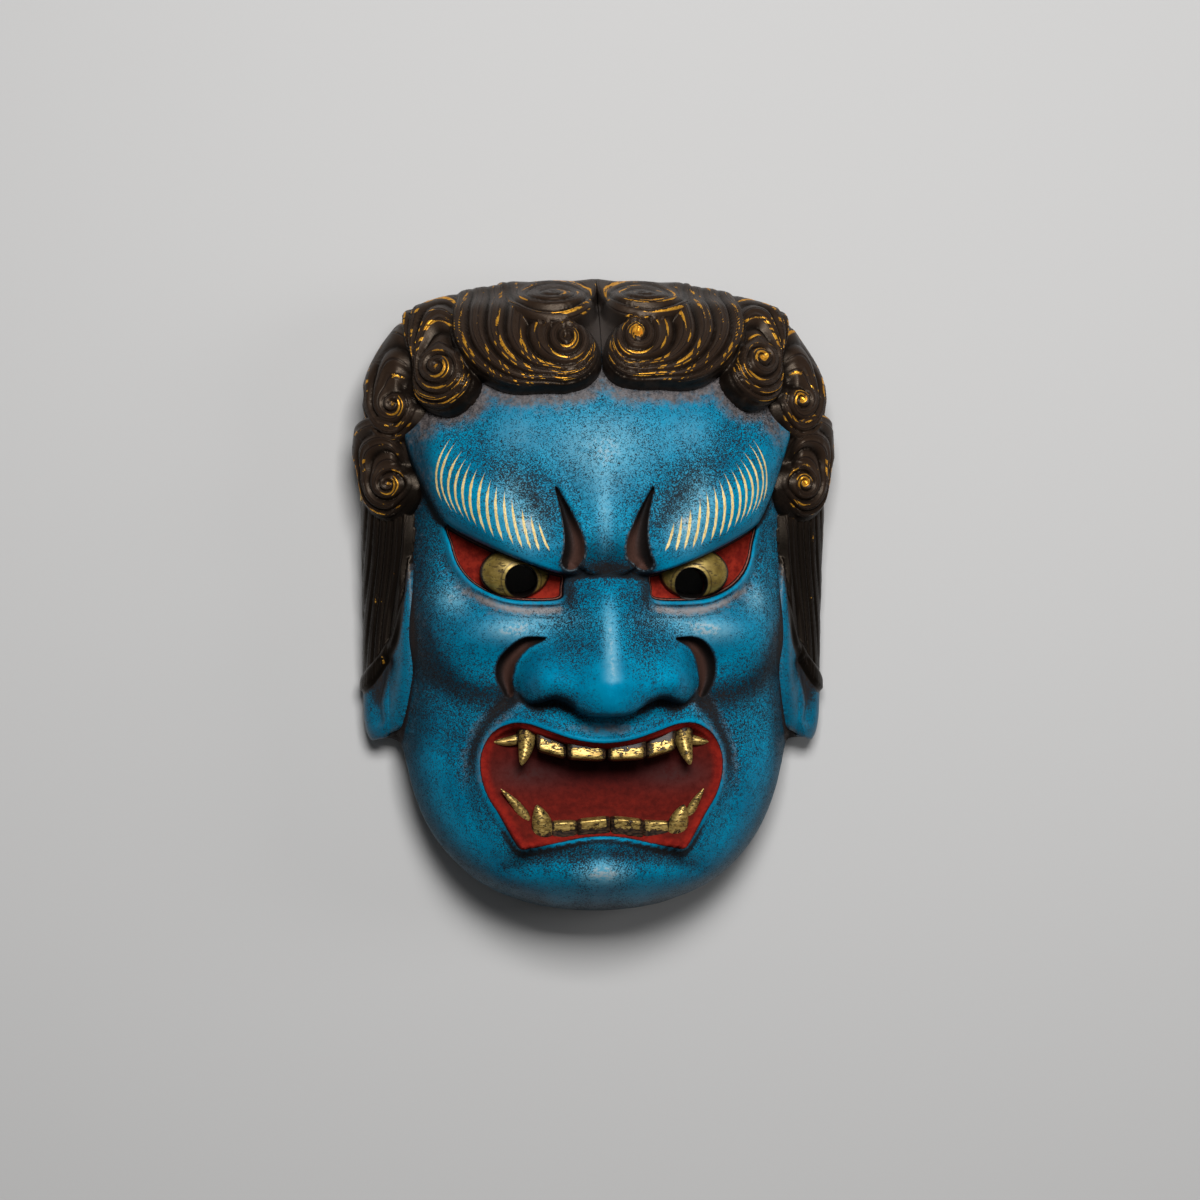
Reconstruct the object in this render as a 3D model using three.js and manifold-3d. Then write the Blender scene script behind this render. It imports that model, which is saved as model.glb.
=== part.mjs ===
// A wrathful guardian-deity mask, carved from one block of wood: bulging brows, fangs, scrolled hair
// and long ear lobes, hollow behind, with two pierced pupils and two brass eyelets for its cord.
// It lies on its flat back rim. Millimetres, +X to the right, +Y towards the hair, +Z out of the face.
import * as THREE from "three";
import { mergeVertices } from "three/addons/utils/BufferGeometryUtils.js";
import Module from "manifold-3d";

const wasm = await Module();
wasm.setup();

// Driving dimensions
const PUPIL_SPACING = 61.2; // sight holes, set to a wearer's eyes
const PUPIL_RADIUS = 5.75;
const PUPIL_HEIGHT = 5.2; // above the middle of the mask
const HOLLOW = { width: 136, height: 186, eyes: 46, mouth: 37 }; // the back, and its depth at both levels
const CORD_HEIGHT = 37.6; // cord holes through the side walls, above the middle of the mask
const CORD_DEPTH = 12; // and above the flat rim
const CORD_RADIUS = 1.2;
const EYELET = { seat: 84.6, flange: 3, thickness: 0.9, barrel: 1.9, length: 6 };
const GAP = 0.3; // between an eyelet and the wood
const MIDDLE = 0.38; // brings the middle of the whole to the origin
const GRID = 128; // cells along each side of the carving grid, a power of two
const FINENESS = 1.2; // how far the facets may leave the carved surface

// Colours of the photographed paint
const PAINT = { color: 0x0a86b8, roughness: 0.45, metalness: 0 };
const BRASS = { color: 0xa8862f, roughness: 0.35, metalness: 1 };

// Small mathematics of carving
const clamp01 = (t) => Math.min(1, Math.max(0, t));
const mix = (a, b, t) => a + (b - a) * t;
const ease = (a, b, t) => {
  const s = clamp01((t - a) / (b - a));
  return s * s * (3 - 2 * s);
};
const bell = (d, width) => Math.exp(-(d * d) / (width * width));
const mound = (x, y, [cx, cy, rx, ry, height]) => height * bell(Math.hypot((x - cx) / rx, (y - cy) / ry), 1);
const softMax = (a, b, k) => {
  const h = clamp01(0.5 + (0.5 * (a - b)) / k);
  return mix(b, a, h) + k * h * (1 - h);
};

// A smooth line through (place, value) knots
function graph(knots, t) {
  const last = knots.length - 1;
  if (t <= knots[0][0]) return knots[0][1];
  if (t >= knots[last][0]) return knots[last][1];
  let i = 0;
  while (t > knots[i + 1][0]) i++;
  const slope = (a, b) => (knots[b][1] - knots[a][1]) / (knots[b][0] - knots[a][0]);
  const span = knots[i + 1][0] - knots[i][0];
  const m0 = slope(Math.max(i - 1, 0), i + 1) * span;
  const m1 = slope(i, Math.min(i + 2, last)) * span;
  const s = (t - knots[i][0]) / span;
  const h01 = s * s * (3 - 2 * s);
  return mix(knots[i][1], knots[i + 1][1], h01) + m0 * s * (1 - s) * (1 - s) - m1 * s * s * (1 - s);
}

// A carved line: a smooth curve through a few points, held as short chords
const STEPS = 8;
function line(points, closed = false) {
  const curve = new THREE.CatmullRomCurve3(
    points.map(([x, y]) => new THREE.Vector3(x, y, 0)), closed, "catmullrom", 0.5);
  return curve.getPoints((closed ? points.length : points.length - 1) * STEPS).map((p) => [p.x, p.y]);
}

// Nearest place on a line: its distance, its share t along the line, and its side, positive on the left
function nearest(chords, x, y) {
  const best = { distance: Infinity, t: 0, side: 1 };
  for (let i = 0; i + 1 < chords.length; i++) {
    const [ax, ay] = chords[i];
    const dx = chords[i + 1][0] - ax;
    const dy = chords[i + 1][1] - ay;
    const s = clamp01(((x - ax) * dx + (y - ay) * dy) / (dx * dx + dy * dy));
    const ex = x - ax - s * dx;
    const ey = y - ay - s * dy;
    const d = Math.hypot(ex, ey);
    if (d < best.distance - 1e-9) {
      best.distance = d;
      best.t = (i + s) / (chords.length - 1);
      best.side = dx * ey - dy * ex >= 0 ? 1 : -1;
    }
  }
  return best;
}

// Signed distance to a closed line, negative inside
function inside(chords, x, y) {
  let odd = false;
  for (let i = 0; i + 1 < chords.length; i++) {
    const [ax, ay] = chords[i];
    const [bx, by] = chords[i + 1];
    if (ay > y !== by > y && x < ax + ((y - ay) * (bx - ax)) / (by - ay)) odd = !odd;
  }
  return nearest(chords, x, y).distance * (odd ? -1 : 1);
}

// Half of the mask's outline from the crown to the chin, mirrored for the other half
const HALF_OUTLINE = [
  [0, 110.5], [24, 110], [44, 108], [57, 103.5], [67, 94.5], [75.5, 82], [80.5, 66], [82.4, 48],
  [82.4, 30], [82.4, 5], [82, -20], [81.6, -36], [80.4, -46], [77.4, -51.6], [73.4, -51],
  [70.8, -54], [69.2, -61], [65.8, -74], [60, -86.5], [51.6, -97], [40.6, -105.8], [23.6, -112.8],
];
const OUTLINE = line([
  ...HALF_OUTLINE, [0, -115.6], ...HALF_OUTLINE.slice(1).reverse().map(([x, y]) => [-x, y])], true);

// The outline as a radius for each direction from the middle, at even angles
const TURNS = 720;
const outlineRadii = Array.from({ length: TURNS }, (_, n) => {
  const angle = (n / TURNS) * 2 * Math.PI;
  const dx = Math.cos(angle);
  const dy = Math.sin(angle);
  let far = 0;
  for (let i = 0; i + 1 < OUTLINE.length; i++) {
    const [ax, ay] = OUTLINE[i];
    const ex = OUTLINE[i + 1][0] - ax;
    const ey = OUTLINE[i + 1][1] - ay;
    const cross = dx * ey - dy * ex;
    const s = (dy * ax - dx * ay) / cross;
    if (s >= -1e-9 && s <= 1 + 1e-9) far = Math.max(far, (ax + s * ex) * dx + (ay + s * ey) * dy);
  }
  return far;
});
function outlineRadius(angle) {
  const n = ((angle / (2 * Math.PI)) * TURNS + 4 * TURNS) % TURNS;
  const i = Math.floor(n);
  return mix(outlineRadii[i % TURNS], outlineRadii[(i + 1) % TURNS], n - i);
}
const OVAL = [82, 111]; // the plain oval that the carving grid follows away from the outline
const ovalRadius = (a) => 1 / Math.hypot(Math.cos(a) / OVAL[0], Math.sin(a) / OVAL[1]);

// The head before its features: a domed face, and a lower band round it for hair and ears
const FACE_HEIGHT = [
  [-115.6, 22], [-113.5, 35], [-107.5, 49], [-98, 57.5], [-80, 60], [-40, 60], [-10, 58], [20, 58], [45, 61],
  [65, 60], [80, 56], [92, 48.5], [101, 39], [107.5, 27], [110.5, 16]];
const FACE_WIDTH = [
  [-115.6, 16], [-112.8, 28], [-105.8, 45], [-97, 56], [-86.5, 63.5], [-74, 69], [-60, 72.5], [-38, 74],
  [0, 74.5], [45, 73.5], [70, 74], [85, 73], [95, 68], [104, 56], [108.5, 44], [110.5, 20]];
const BAND = { rise: 12, from: 0.8 };
const BAND_FOOT = [[-50, 8], [0, 10], [45, 17], [80, 22], [110, 22]];
function head(x, y) {
  const across = Math.abs(x) / graph(FACE_WIDTH, y);
  const dome = graph(FACE_HEIGHT, y) * Math.sqrt(Math.max(0, 1 - across ** 2.9));
  const reach = Math.hypot(x, y) / outlineRadius(Math.atan2(y, x));
  const roll = clamp01((reach - BAND.from) / (1 - BAND.from));
  return softMax(dome, graph(BAND_FOOT, y) + BAND.rise * Math.sqrt(1 - roll * roll), 7);
}

// Lines of the face, for the half with positive x
const BROW_EDGE = line([
  [-9, 7.3], [0, 7.6], [9, 7.3], [15, 7.6], [25, 10.6], [39.4, 16.6], [54.6, 25], [60.5, 32.5], [66, 44],
  [70.5, 57], [73, 68]]);
const BROW_CREST = line([[74, 62], [66, 49.5], [57, 40], [46, 32], [33, 24.5], [19.5, 16.5]]);
const BROW_VALLEY = line([[58, 68], [46, 56], [35, 46], [26, 36], [20.5, 27]]);
const FURROW = line([[17, 38.6], [14.4, 31], [12.4, 23], [12, 16], [13.6, 10.5], [16.2, 6]]);
const FURROW_RIM = line([[16.4, 40.5], [11.4, 32], [8.2, 22.5], [7.6, 13]]);
const EYE = line([
  [54.6, 25.6], [53.6, 18.5], [50.8, 10.5], [45, 3.8], [36, -0.6], [26, -1.8], [14.6, -1.2], [13.4, 2.5],
  [15, 8.4], [25, 11.4], [39.4, 17.6]], true);
const EYE_BAG = line([[56, 13], [49.5, 1.5], [38, -5], [24, -6], [15, -3]]);
const ALA_GROOVE = line([[24.5, -15.2], [31, -17.6], [35.4, -23], [36.4, -29.5], [34.6, -36.4]]);
const NOSTRIL = line([[14.5, -39.4], [17.5, -38.2], [21, -38.4], [24, -40]]);
const CHEEK_EDGE = line([[35, -38.5], [45, -38.5], [57, -33.5], [67, -22], [76, -8]]);
const MOUTH_FOLD = line([[36, -38.5], [42.5, -45], [47.2, -55], [48.6, -67], [46.5, -79], [41, -90]]);
const MOUTH = line([
  [0, -52.8], [10, -51.6], [19, -48.7], [27, -46], [33.5, -46], [39.6, -49.6], [43.2, -56.5], [43.4, -64],
  [41.2, -71.5],
  [37, -78.5], [32.6, -86.4], [29.6, -90.6], [26, -90.4], [17, -88.2], [8, -86.1], [0, -85.5],
  [-8, -86.1], [-17, -88.2], [-26, -90.4], [-29.6, -90.6], [-32.6, -86.4], [-37, -78.5],
  [-41.2, -71.5], [-43.4, -64], [-43.2, -56.5], [-39.6, -49.6], [-33.5, -46], [-27, -46], [-19, -48.7],
  [-10, -51.6]], true);
const LOWER_GUM = line([[-22, -79.5], [-12, -76.6], [0, -75.4], [12, -76.6], [22, -79.5], [29, -76], [34.5, -69]]);
const CHIN_CREASE = line([[-34, -97.5], [-20, -94.5], [0, -92.8], [20, -94.5], [34, -97.5]]);

// Mounds: centre x, centre y, reach across, reach up, height
const UPPER_MOUNDS = [[0, 50, 30, 22, 4.5], [0, 22, 9.5, 22, 8], [64, 56, 12, 14, 3]];
const LOWER_MOUNDS = [
  [38, -10.5, 16, 11, 11], [57, -14, 14, 18, 9], [0, -50, 33, 13, 8.5], [0, -89, 30, 9, 5], [0, -101, 21, 8.5, 6],
  [55, -52, 12, 12, -2.5], [62, 12, 9, 16, -1.5], [36, -66, 14, 20, 3]];

// Height of the upper face, above the line of the brows
function upperFace(x, y, base) {
  const crest = nearest(BROW_CREST, x, y);
  const swell = graph([[0, 3], [0.25, 8], [0.55, 14], [0.85, 14], [1, 12.5]], crest.t);
  const shape = crest.side > 0 ? Math.exp(-((crest.distance / 12.5) ** 4)) : bell(crest.distance, 17);
  const valley = nearest(BROW_VALLEY, x, y);
  const furrow = nearest(FURROW, x, y);
  const cut = graph([[0, 0.8], [0.3, 2.3], [0.55, 3.6], [0.8, 4], [1, 3.4]], furrow.t);
  const rim = nearest(FURROW_RIM, x, y);
  let z = base + UPPER_MOUNDS.reduce((sum, m) => sum + mound(x, y, m), 0);
  z += swell * shape - 2.2 * bell(valley.distance, 8);
  z += 1.3 * bell(rim.distance, 1.7) * Math.sin(Math.PI * mix(0.1, 0.95, rim.t));
  return z - 5.5 * Math.max(0, 1 - (furrow.distance / cut) ** 2);
}

// The nose: a ridge falling to both wings, cut off below by a steep underside
const NOSE_RIDGE = [[-45, 88], [-36, 88.5], [-31, 88.3], [-25, 86], [-15, 79.5], [-5, 73], [3, 68.5], [9, 65]];
const NOSE_UNDER = [[0, -42.6], [7, -42], [14, -38.6], [19, -37], [24.5, -38.4], [30, -37.6], [35, -33]];
function nose(x, y) {
  const flank = graph([[-36, 0.78], [-20, 0.85], [-5, 0.95], [8, 0.8]], y);
  const ridge = graph(NOSE_RIDGE, y) - flank * (Math.hypot(x, 5) - 5) - 0.09 * Math.max(0, x - 23) ** 2;
  const below = y - graph(NOSE_UNDER, x);
  const tuck = 6.5 * (1 - Math.sqrt(1 - (1 - clamp01(below / 8)) ** 2));
  const top = ridge + mound(x, y, [0, -31, 10, 8, 2.5]) + mound(x, y, [24, -28, 8.5, 9.5, 6.5]) - tuck;
  const under = 66 + 7 * below;
  return softMax(-softMax(-top, -under, 4), 20, 3) - 4.5 * bell(nearest(NOSTRIL, x, y).distance, 1.9);
}

// Height of the lower face, with its mouth and eye sockets
function lowerFace(x, y, base) {
  const cheek = nearest(CHEEK_EDGE, x, y);
  const above = ease(-5, 2.5, cheek.distance * cheek.side);
  const [nearCheek, farCheek, ...rest] = LOWER_MOUNDS;
  let z = base + rest.reduce((sum, m) => sum + mound(x, y, m), 0);
  z += (mound(x, y, nearCheek) + mound(x, y, farCheek)) * above;
  const fold = nearest(MOUTH_FOLD, x, y);
  z -= 3 * bell(fold.distance, 3) * (1 - 0.8 * fold.t);
  z -= 2.2 * bell(nearest(EYE_BAG, x, y).distance, 2.6);
  z -= 2 * bell(nearest(CHIN_CREASE, x, y).distance, 4);
  z = softMax(z, nose(x, y), mix(3.5, 8, ease(-2, -9, y) * ease(-22, -14, y)));
  const ala = nearest(ALA_GROOVE, x, y);
  const cut = graph([[0, 0.8], [0.3, 2.6], [0.65, 3.3], [1, 1.6]], ala.t);
  z -= 5.5 * Math.max(0, 1 - (ala.distance / cut) ** 2);
  return mouth(x, y, socket(x, y, z, base));
}

// The eye: a ball in a sunk socket behind a thin raised lid
const EYEBALL = [31.6, 8.2, 53.5, 12.6, 9.2, 6.5]; // centre, and reach across, up and out
function ball(x, y, [cx, cy, cz, rx, ry, rz]) {
  const left = 1 - ((x - cx) / rx) ** 2 - ((y - cy) / ry) ** 2;
  return left > 0 ? cz + rz * Math.sqrt(left) : 0;
}
function socket(x, y, z, base) {
  const edge = inside(EYE, x, y);
  if (edge > 5) return z;
  const lid = z + 1.6 * bell(edge - 0.9, 1.2);
  const sunk = Math.max(base - 3.6, ball(x, y, EYEBALL));
  return mix(lid, sunk, ease(0.8, -1.5, edge));
}

// The open mouth: a beaded lip, a steep wall, and a hollow floor with a gum ridge in front
function mouth(x, y, z) {
  const edge = inside(MOUTH, x, y);
  if (edge > 6) return z;
  const lip = z + 1.1 * bell(edge - 0.8, 1.1);
  const gum = nearest(LOWER_GUM, x, y).distance;
  let floor = 45.5 + 0.016 * (y + 57) ** 2 + 0.0048 * x * x;
  floor += 1.6 * bell(gum, 1.5);
  const ledge = graph([[-90, 4], [-75, 3.8], [-60, 3], [-50, 1.2], [-45, 0.6]], y);
  const rim = z - 1.8 - 0.5 * Math.max(0, -edge) - 3.5 * Math.max(0, -edge - ledge);
  return mix(lip, softMax(floor, rim, 2), ease(0.8, -1.6, edge));
}

// Face with its features: two halves of one function, joined along the brow line
function face(x, y, base) {
  const half = Math.abs(x);
  const brow = nearest(BROW_EDGE, half, y);
  const over = ease(-1.6, 1.6, brow.distance * brow.side);
  const upper = over > 0 ? upperFace(half, y, base) : 0;
  const lower = over < 1 ? lowerFace(half, y, base) : 0;
  return mix(lower, upper, over);
}

// Hair: the edge of the plain hair, and the scrolled locks that lie on it. A lock is its centre, its
// reach in twelve directions from +X round, the radius of its curl, the turns of its scroll, and its thickness.
const HAIRLINE = line([
  [-20, 86], [0, 83], [20, 86], [43, 81.5], [58, 77], [66.5, 68], [70, 56], [70.8, 35], [71.4, 15], [72.6, 0],
  [73.8, -13], [75.4, -19.5], [78.5, -24.5], [82, -29], [92, -41]]);
const LOCKS = [
  { at: [12.6, 90.7], reach: [42, 47, 62, 16, 10, 10.8, 12, 14.5, 16.4, 18, 21, 32], curl: 8.2, turns: 2.5, thick: 7.8 },
  { at: [57.2, 81.8], reach: [12, 15, 27, 46, 30, 13, 11.8, 14, 15.4, 17.4, 16.4, 13.4], curl: 6.2, turns: 2, thick: 7.3 },
  { at: [73.9, 69.4], reach: [14, 16, 26, 46, 30, 12, 9, 9.6, 12.5, 16.5, 16, 14], curl: 5, turns: 1.5, thick: 5.8 },
  { at: [77.6, 42.4], reach: [14, 17, 28, 26, 10, 8, 7.6, 8.4, 11, 15, 15, 14], curl: 5.2, turns: 1.5, thick: 5.4 },
  { at: [16.3, 109.5], reach: [19, 22, 30, 32, 26, 17, 16, 15, 13.5, 13, 14.5, 17], curl: 7, turns: 2, thick: 9.4 },
];
const SCROLL = 1.4; // depth of the groove that winds into a lock
const wound = (phase) => Math.sqrt(Math.abs(Math.sin(Math.PI * phase)));

function lockRelief(lock, x, y) {
  const dx = x - lock.at[0];
  const dy = y - lock.at[1];
  const turn = (Math.atan2(dy, dx) / (2 * Math.PI) + 1) % 1;
  const n = lock.reach.length;
  const i = Math.floor(turn * n);
  const knots = [-1, 0, 1, 2].map((k) => [k, lock.reach[(i + k + n) % n]]);
  const reach = graph(knots, turn * n - i);
  const r = Math.hypot(dx, dy);
  if (r >= reach) return 0;
  const curl = Math.min(lock.curl, reach - 2);
  const out = clamp01((r - curl) / (reach - curl));
  const edge = clamp01((reach - r) / 6);
  const roll = Math.sqrt(1 - (1 - edge) ** 2);
  const lift = 1.5 * bell(r / curl, 0.8) - 1.3 * bell(out - 0.12, 0.14) * ease(12, 30, reach);
  const phase = lock.turns * (0.5 * Math.min(1, r / curl) + 0.5 * out ** 1.25) - turn;
  const thick = lock.thick * roll + lift + SCROLL * (wound(phase) - 0.3) * edge;
  return thick * mix(1, 0.62, ease(101, 113, y));
}

// Plain hair and the ear lobes, as thickness over the band
const LOBE = line([
  [71.7, 12], [71.8, -2], [71.3, -14], [70.9, -27], [71.6, -38], [73.4, -46], [76, -51.6], [79.6, -54],
  [84, -53.5], [88, -47], [89, -38], [87, -30], [79.5, -24], [76, -18], [73.6, -6], [72.5, 12]], true);
const LOBE_GROOVE = line([[78.5, -29], [79.6, -36], [79.2, -42], [77.6, -46]]);
function lobeRelief(x, y) {
  const edge = inside(LOBE, x, y);
  if (edge > 0) return 0;
  const roll = Math.sqrt(1 - (1 - clamp01(-edge / 3)) ** 2);
  return 4.2 * roll - 2 * bell(nearest(LOBE_GROOVE, x, y).distance, 2.3) * roll;
}
function hair(x, y) {
  const half = Math.abs(x);
  const away = nearest(HAIRLINE, half, y);
  const depth = away.distance * away.side;
  const plain = 2.6 * ease(0, 1.6, depth);
  const locks = LOCKS.map((lock) => lockRelief(lock, half, y));
  return Math.max(plain, lobeRelief(half, y), ...locks);
}

// A point of the head before its hair. share is 0 in the middle and 1 at the back rim: the face fills
// the inner part, and a side wall the rest. reach is where the point lies for the pattern of the hair.
const WALL_FROM = 0.88;
const WALL_TUCK = 2.2; // the side wall draws in towards the rim
function headPoint(angle, share, z) {
  const front = Math.min(1, share / WALL_FROM);
  const radius = mix(ovalRadius(angle), outlineRadius(angle), ease(0.55, 0.97, front)) * front;
  const down = clamp01((share - WALL_FROM) / (1 - WALL_FROM));
  const scale = radius - WALL_TUCK * down * down;
  const x = scale * Math.cos(angle);
  const y = scale * Math.sin(angle);
  const top = z(radius * Math.cos(angle), radius * Math.sin(angle));
  const out = radius + down * top;
  return { point: new THREE.Vector3(x, y, top * (1 - down)), reach: [out * Math.cos(angle), out * Math.sin(angle)] };
}

// Direction in which hair grows out of the head at a point
function outward(angle, share) {
  const at = (a, s) => headPoint(a, Math.min(1, Math.max(0.04, s)), head).point;
  const along = at(angle + 0.04, share).sub(at(angle - 0.04, share));
  const up = at(angle, share + 0.03).sub(at(angle, share - 0.03));
  return up.cross(along).normalize();
}

const LIFT = 5.5; // thickness at which the pattern of the hair is drawn
function carved(angle, share) {
  const { point, reach } = headPoint(angle, share, head);
  const normal = outward(angle, share);
  const drop = 1 - clamp01((share - WALL_FROM) / (1 - WALL_FROM));
  normal.z *= drop;
  const thick = hair(reach[0] + LIFT * drop * normal.x, reach[1] + LIFT * drop * normal.y);
  if (share <= WALL_FROM) point.z = face(point.x, point.y, point.z);
  if (thick > 0) point.addScaledVector(normal, thick);
  if (share >= 1) point.z = 0;
  return point;
}

// Every corner of the carving grid, from a square pressed into a disc
function carvingGrid() {
  const corners = [];
  for (let j = 0; j <= GRID; j++) {
    for (let i = 0; i <= GRID; i++) {
      const u = (2 * i) / GRID - 1;
      const v = (2 * j) / GRID - 1;
      const a = u * Math.sqrt(1 - (v * v) / 2);
      const b = v * Math.sqrt(1 - (u * u) / 2);
      const share = i % GRID === 0 || j % GRID === 0 ? 1 : Math.hypot(a, b);
      corners.push(carved(Math.atan2(b, a), share));
    }
  }
  return corners;
}

// Facets: right triangles halved again and again where the surface leaves them by more than FINENESS
function facets(corners) {
  const size = GRID + 1;
  const index = (x, y) => y * size + x;
  const error = new Float32Array(size * size);
  const count = 2 * GRID * GRID - 2;
  for (let n = count - 1; n >= 0; n--) {
    let id = n + 2;
    let [ax, ay, bx, by, cx, cy] = id & 1 ? [0, 0, GRID, GRID, GRID, 0] : [GRID, GRID, 0, 0, 0, GRID];
    while ((id >>= 1) > 1) {
      const mx = (ax + bx) / 2;
      const my = (ay + by) / 2;
      [ax, ay, bx, by] = id & 1 ? [cx, cy, ax, ay] : [bx, by, cx, cy];
      [cx, cy] = [mx, my];
    }
    const mx = (ax + bx) / 2;
    const my = (ay + by) / 2;
    const m = index(mx, my);
    const chord = corners[index(ax, ay)].clone().add(corners[index(bx, by)]).multiplyScalar(0.5);
    error[m] = Math.max(error[m], chord.distanceTo(corners[m]));
    if (n < count - GRID * GRID) {
      const left = index((ax + cx) / 2, (ay + cy) / 2);
      const right = index((bx + cx) / 2, (by + cy) / 2);
      error[m] = Math.max(error[m], error[left], error[right]);
    }
  }
  const triangles = [];
  const halve = (ax, ay, bx, by, cx, cy) => {
    const mx = (ax + bx) / 2;
    const my = (ay + by) / 2;
    if (Math.abs(ax - cx) + Math.abs(ay - cy) > 1 && error[index(mx, my)] > FINENESS) {
      halve(cx, cy, ax, ay, mx, my);
      halve(bx, by, cx, cy, mx, my);
    } else triangles.push([index(ax, ay), index(cx, cy), index(bx, by)]);
  };
  halve(0, 0, GRID, GRID, GRID, 0);
  halve(GRID, GRID, 0, 0, 0, GRID);
  return triangles;
}

// The carved block: the front facets, closed by a flat back
function block() {
  const corners = carvingGrid();
  const front = facets(corners);
  const used = new Set(front.flat());
  const edge = [];
  const side = (x, y, dx, dy) => {
    for (let k = 0; k < GRID; k++) edge.push((y + dy * k) * (GRID + 1) + x + dx * k);
  };
  side(0, 0, 1, 0);
  side(GRID, 0, 0, 1);
  side(GRID, GRID, -1, 0);
  side(0, GRID, 0, -1);
  const loop = edge.filter((n) => used.has(n));
  const flat = THREE.ShapeUtils.triangulateShape(loop.map((n) => new THREE.Vector2(corners[n].x, corners[n].y)), []);
  const back = flat.map(([a, b, c]) => [loop[a], loop[c], loop[b]]);
  const geometry = new THREE.BufferGeometry();
  geometry.setAttribute("position", new THREE.Float32BufferAttribute(corners.flatMap((p) => [p.x, p.y, p.z]), 3));
  geometry.setIndex([...front, ...back].flat());
  return geometry;
}

// A closed three.js geometry as a solid that can be joined and cut
function solid(geometry) {
  const bare = geometry.index ? geometry.toNonIndexed() : geometry.clone();
  bare.deleteAttribute("normal");
  bare.deleteAttribute("uv");
  const merged = mergeVertices(bare, 1e-4);
  return new wasm.Manifold(new wasm.Mesh({
    numProp: 3,
    vertProperties: merged.attributes.position.array,
    triVerts: new Uint32Array(merged.index.array),
  }));
}
function geometryOf(body) {
  const mesh = body.getMesh();
  const geometry = new THREE.BufferGeometry();
  geometry.setAttribute("position", new THREE.BufferAttribute(new Float32Array(mesh.vertProperties), 3));
  geometry.setIndex(new THREE.BufferAttribute(new Uint32Array(mesh.triVerts), 1));
  geometry.computeVertexNormals();
  return geometry;
}

// The hollow behind the face: a smooth dome, deeper behind the eyes than behind the mouth
function hollow() {
  const rings = 7;
  const profile = Array.from({ length: rings }, (_, i) => {
    const r = Math.sin((i / rings) * (Math.PI / 2));
    return new THREE.Vector2(r, (1 - r ** 2.6) ** 0.5);
  });
  profile.push(new THREE.Vector2(1, -0.1), new THREE.Vector2(0, -0.1));
  const dome = new THREE.LatheGeometry(profile.reverse(), 36).rotateX(Math.PI / 2);
  const place = dome.attributes.position;
  for (let i = 0; i < place.count; i++) {
    const x = (place.getX(i) * HOLLOW.width) / 2;
    const y = (place.getY(i) * HOLLOW.height) / 2;
    place.setXYZ(i, x, y, place.getZ(i) * mix(HOLLOW.mouth, HOLLOW.eyes, ease(-60, 0, y)));
  }
  return solid(dome);
}

// A round bore or boss along Z, turned to lie along X where asked
function round(radius, length, at, across = false, sides = 24) {
  const rod = new THREE.CylinderGeometry(radius, radius, length, sides);
  if (across) rod.rotateZ(Math.PI / 2);
  else rod.rotateX(Math.PI / 2);
  return solid(rod.translate(...at));
}

// Teeth: each is its root, its tip, its width, its depth, and how far it narrows
const TEETH = [
  { root: [7.3, -49.5, 63], tip: [7.2, -58.7, 63.5], width: 12.4, depth: 7, narrow: 0.94 },
  { root: [20.4, -47.5, 61], tip: [18.6, -57, 61.5], width: 10.4, depth: 7, narrow: 0.92 },
  { root: [27, -46, 60], tip: [29.4, -60.8, 62.5], width: 8, depth: 8, narrow: 0.1 },
  { root: [30.5, -48.6, 57], tip: [40, -51.4, 56], width: 6, depth: 6, narrow: 0.4 },
  { root: [5.8, -87, 60], tip: [5.8, -79.6, 60], width: 11, depth: 7, narrow: 0.94 },
  { root: [16.2, -88, 59], tip: [15.9, -81.2, 59], width: 9.6, depth: 7, narrow: 0.92 },
  { root: [24.2, -90, 59], tip: [26, -75, 61.5], width: 9.4, depth: 8, narrow: 0.1 },
  { root: [27, -88, 57], tip: [36.6, -69.4, 57.5], width: 8, depth: 7, narrow: 0.12 },
];
function tooth({ root, tip, width, depth, narrow }, mirror) {
  const from = new THREE.Vector3(...root);
  const axis = new THREE.Vector3(...tip).sub(from);
  const peg = new THREE.CylinderGeometry(narrow, 1, 1, 8).translate(0, 0.5, 0);
  peg.scale(width / 2, axis.length(), depth / 2);
  peg.applyQuaternion(new THREE.Quaternion().setFromUnitVectors(new THREE.Vector3(0, 1, 0), axis.normalize()));
  peg.translate(...root);
  const body = solid(peg);
  return mirror ? body.mirror([1, 0, 0]) : body;
}

// The cord hole, with a flat seat and a wider bore for its eyelet
function cordHole(side) {
  const at = (x) => [side * x, CORD_HEIGHT, CORD_DEPTH];
  const { seat, flange, barrel, length } = EYELET;
  const bore = round(CORD_RADIUS, 40, at(seat - 15), true, 16);
  const sleeve = round(barrel + GAP, length + GAP, at(seat - (length + GAP) / 2), true, 20);
  const face = round(flange + GAP, 10, at(seat + 5), true, 24);
  return wasm.Manifold.union([bore, sleeve, face]);
}

// A brass eyelet: a flanged tube turned in the lathe, laid along X
function eyelet(side) {
  const { seat, flange, thickness, barrel, length } = EYELET;
  const profile = [
    [CORD_RADIUS, 0], [barrel, 0], [barrel, length], [flange, length], [flange, length + thickness * 0.6],
    [flange - 0.4, length + thickness], [CORD_RADIUS + 0.3, length + thickness], [CORD_RADIUS, length + thickness * 0.7],
    [CORD_RADIUS, 0]];
  const tube = new THREE.LatheGeometry(profile.map(([r, h]) => new THREE.Vector2(r, h)), 16);
  tube.rotateZ(-side * (Math.PI / 2));
  tube.translate(side * (seat - length + GAP), CORD_HEIGHT, CORD_DEPTH);
  return geometryOf(solid(tube));
}

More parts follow.
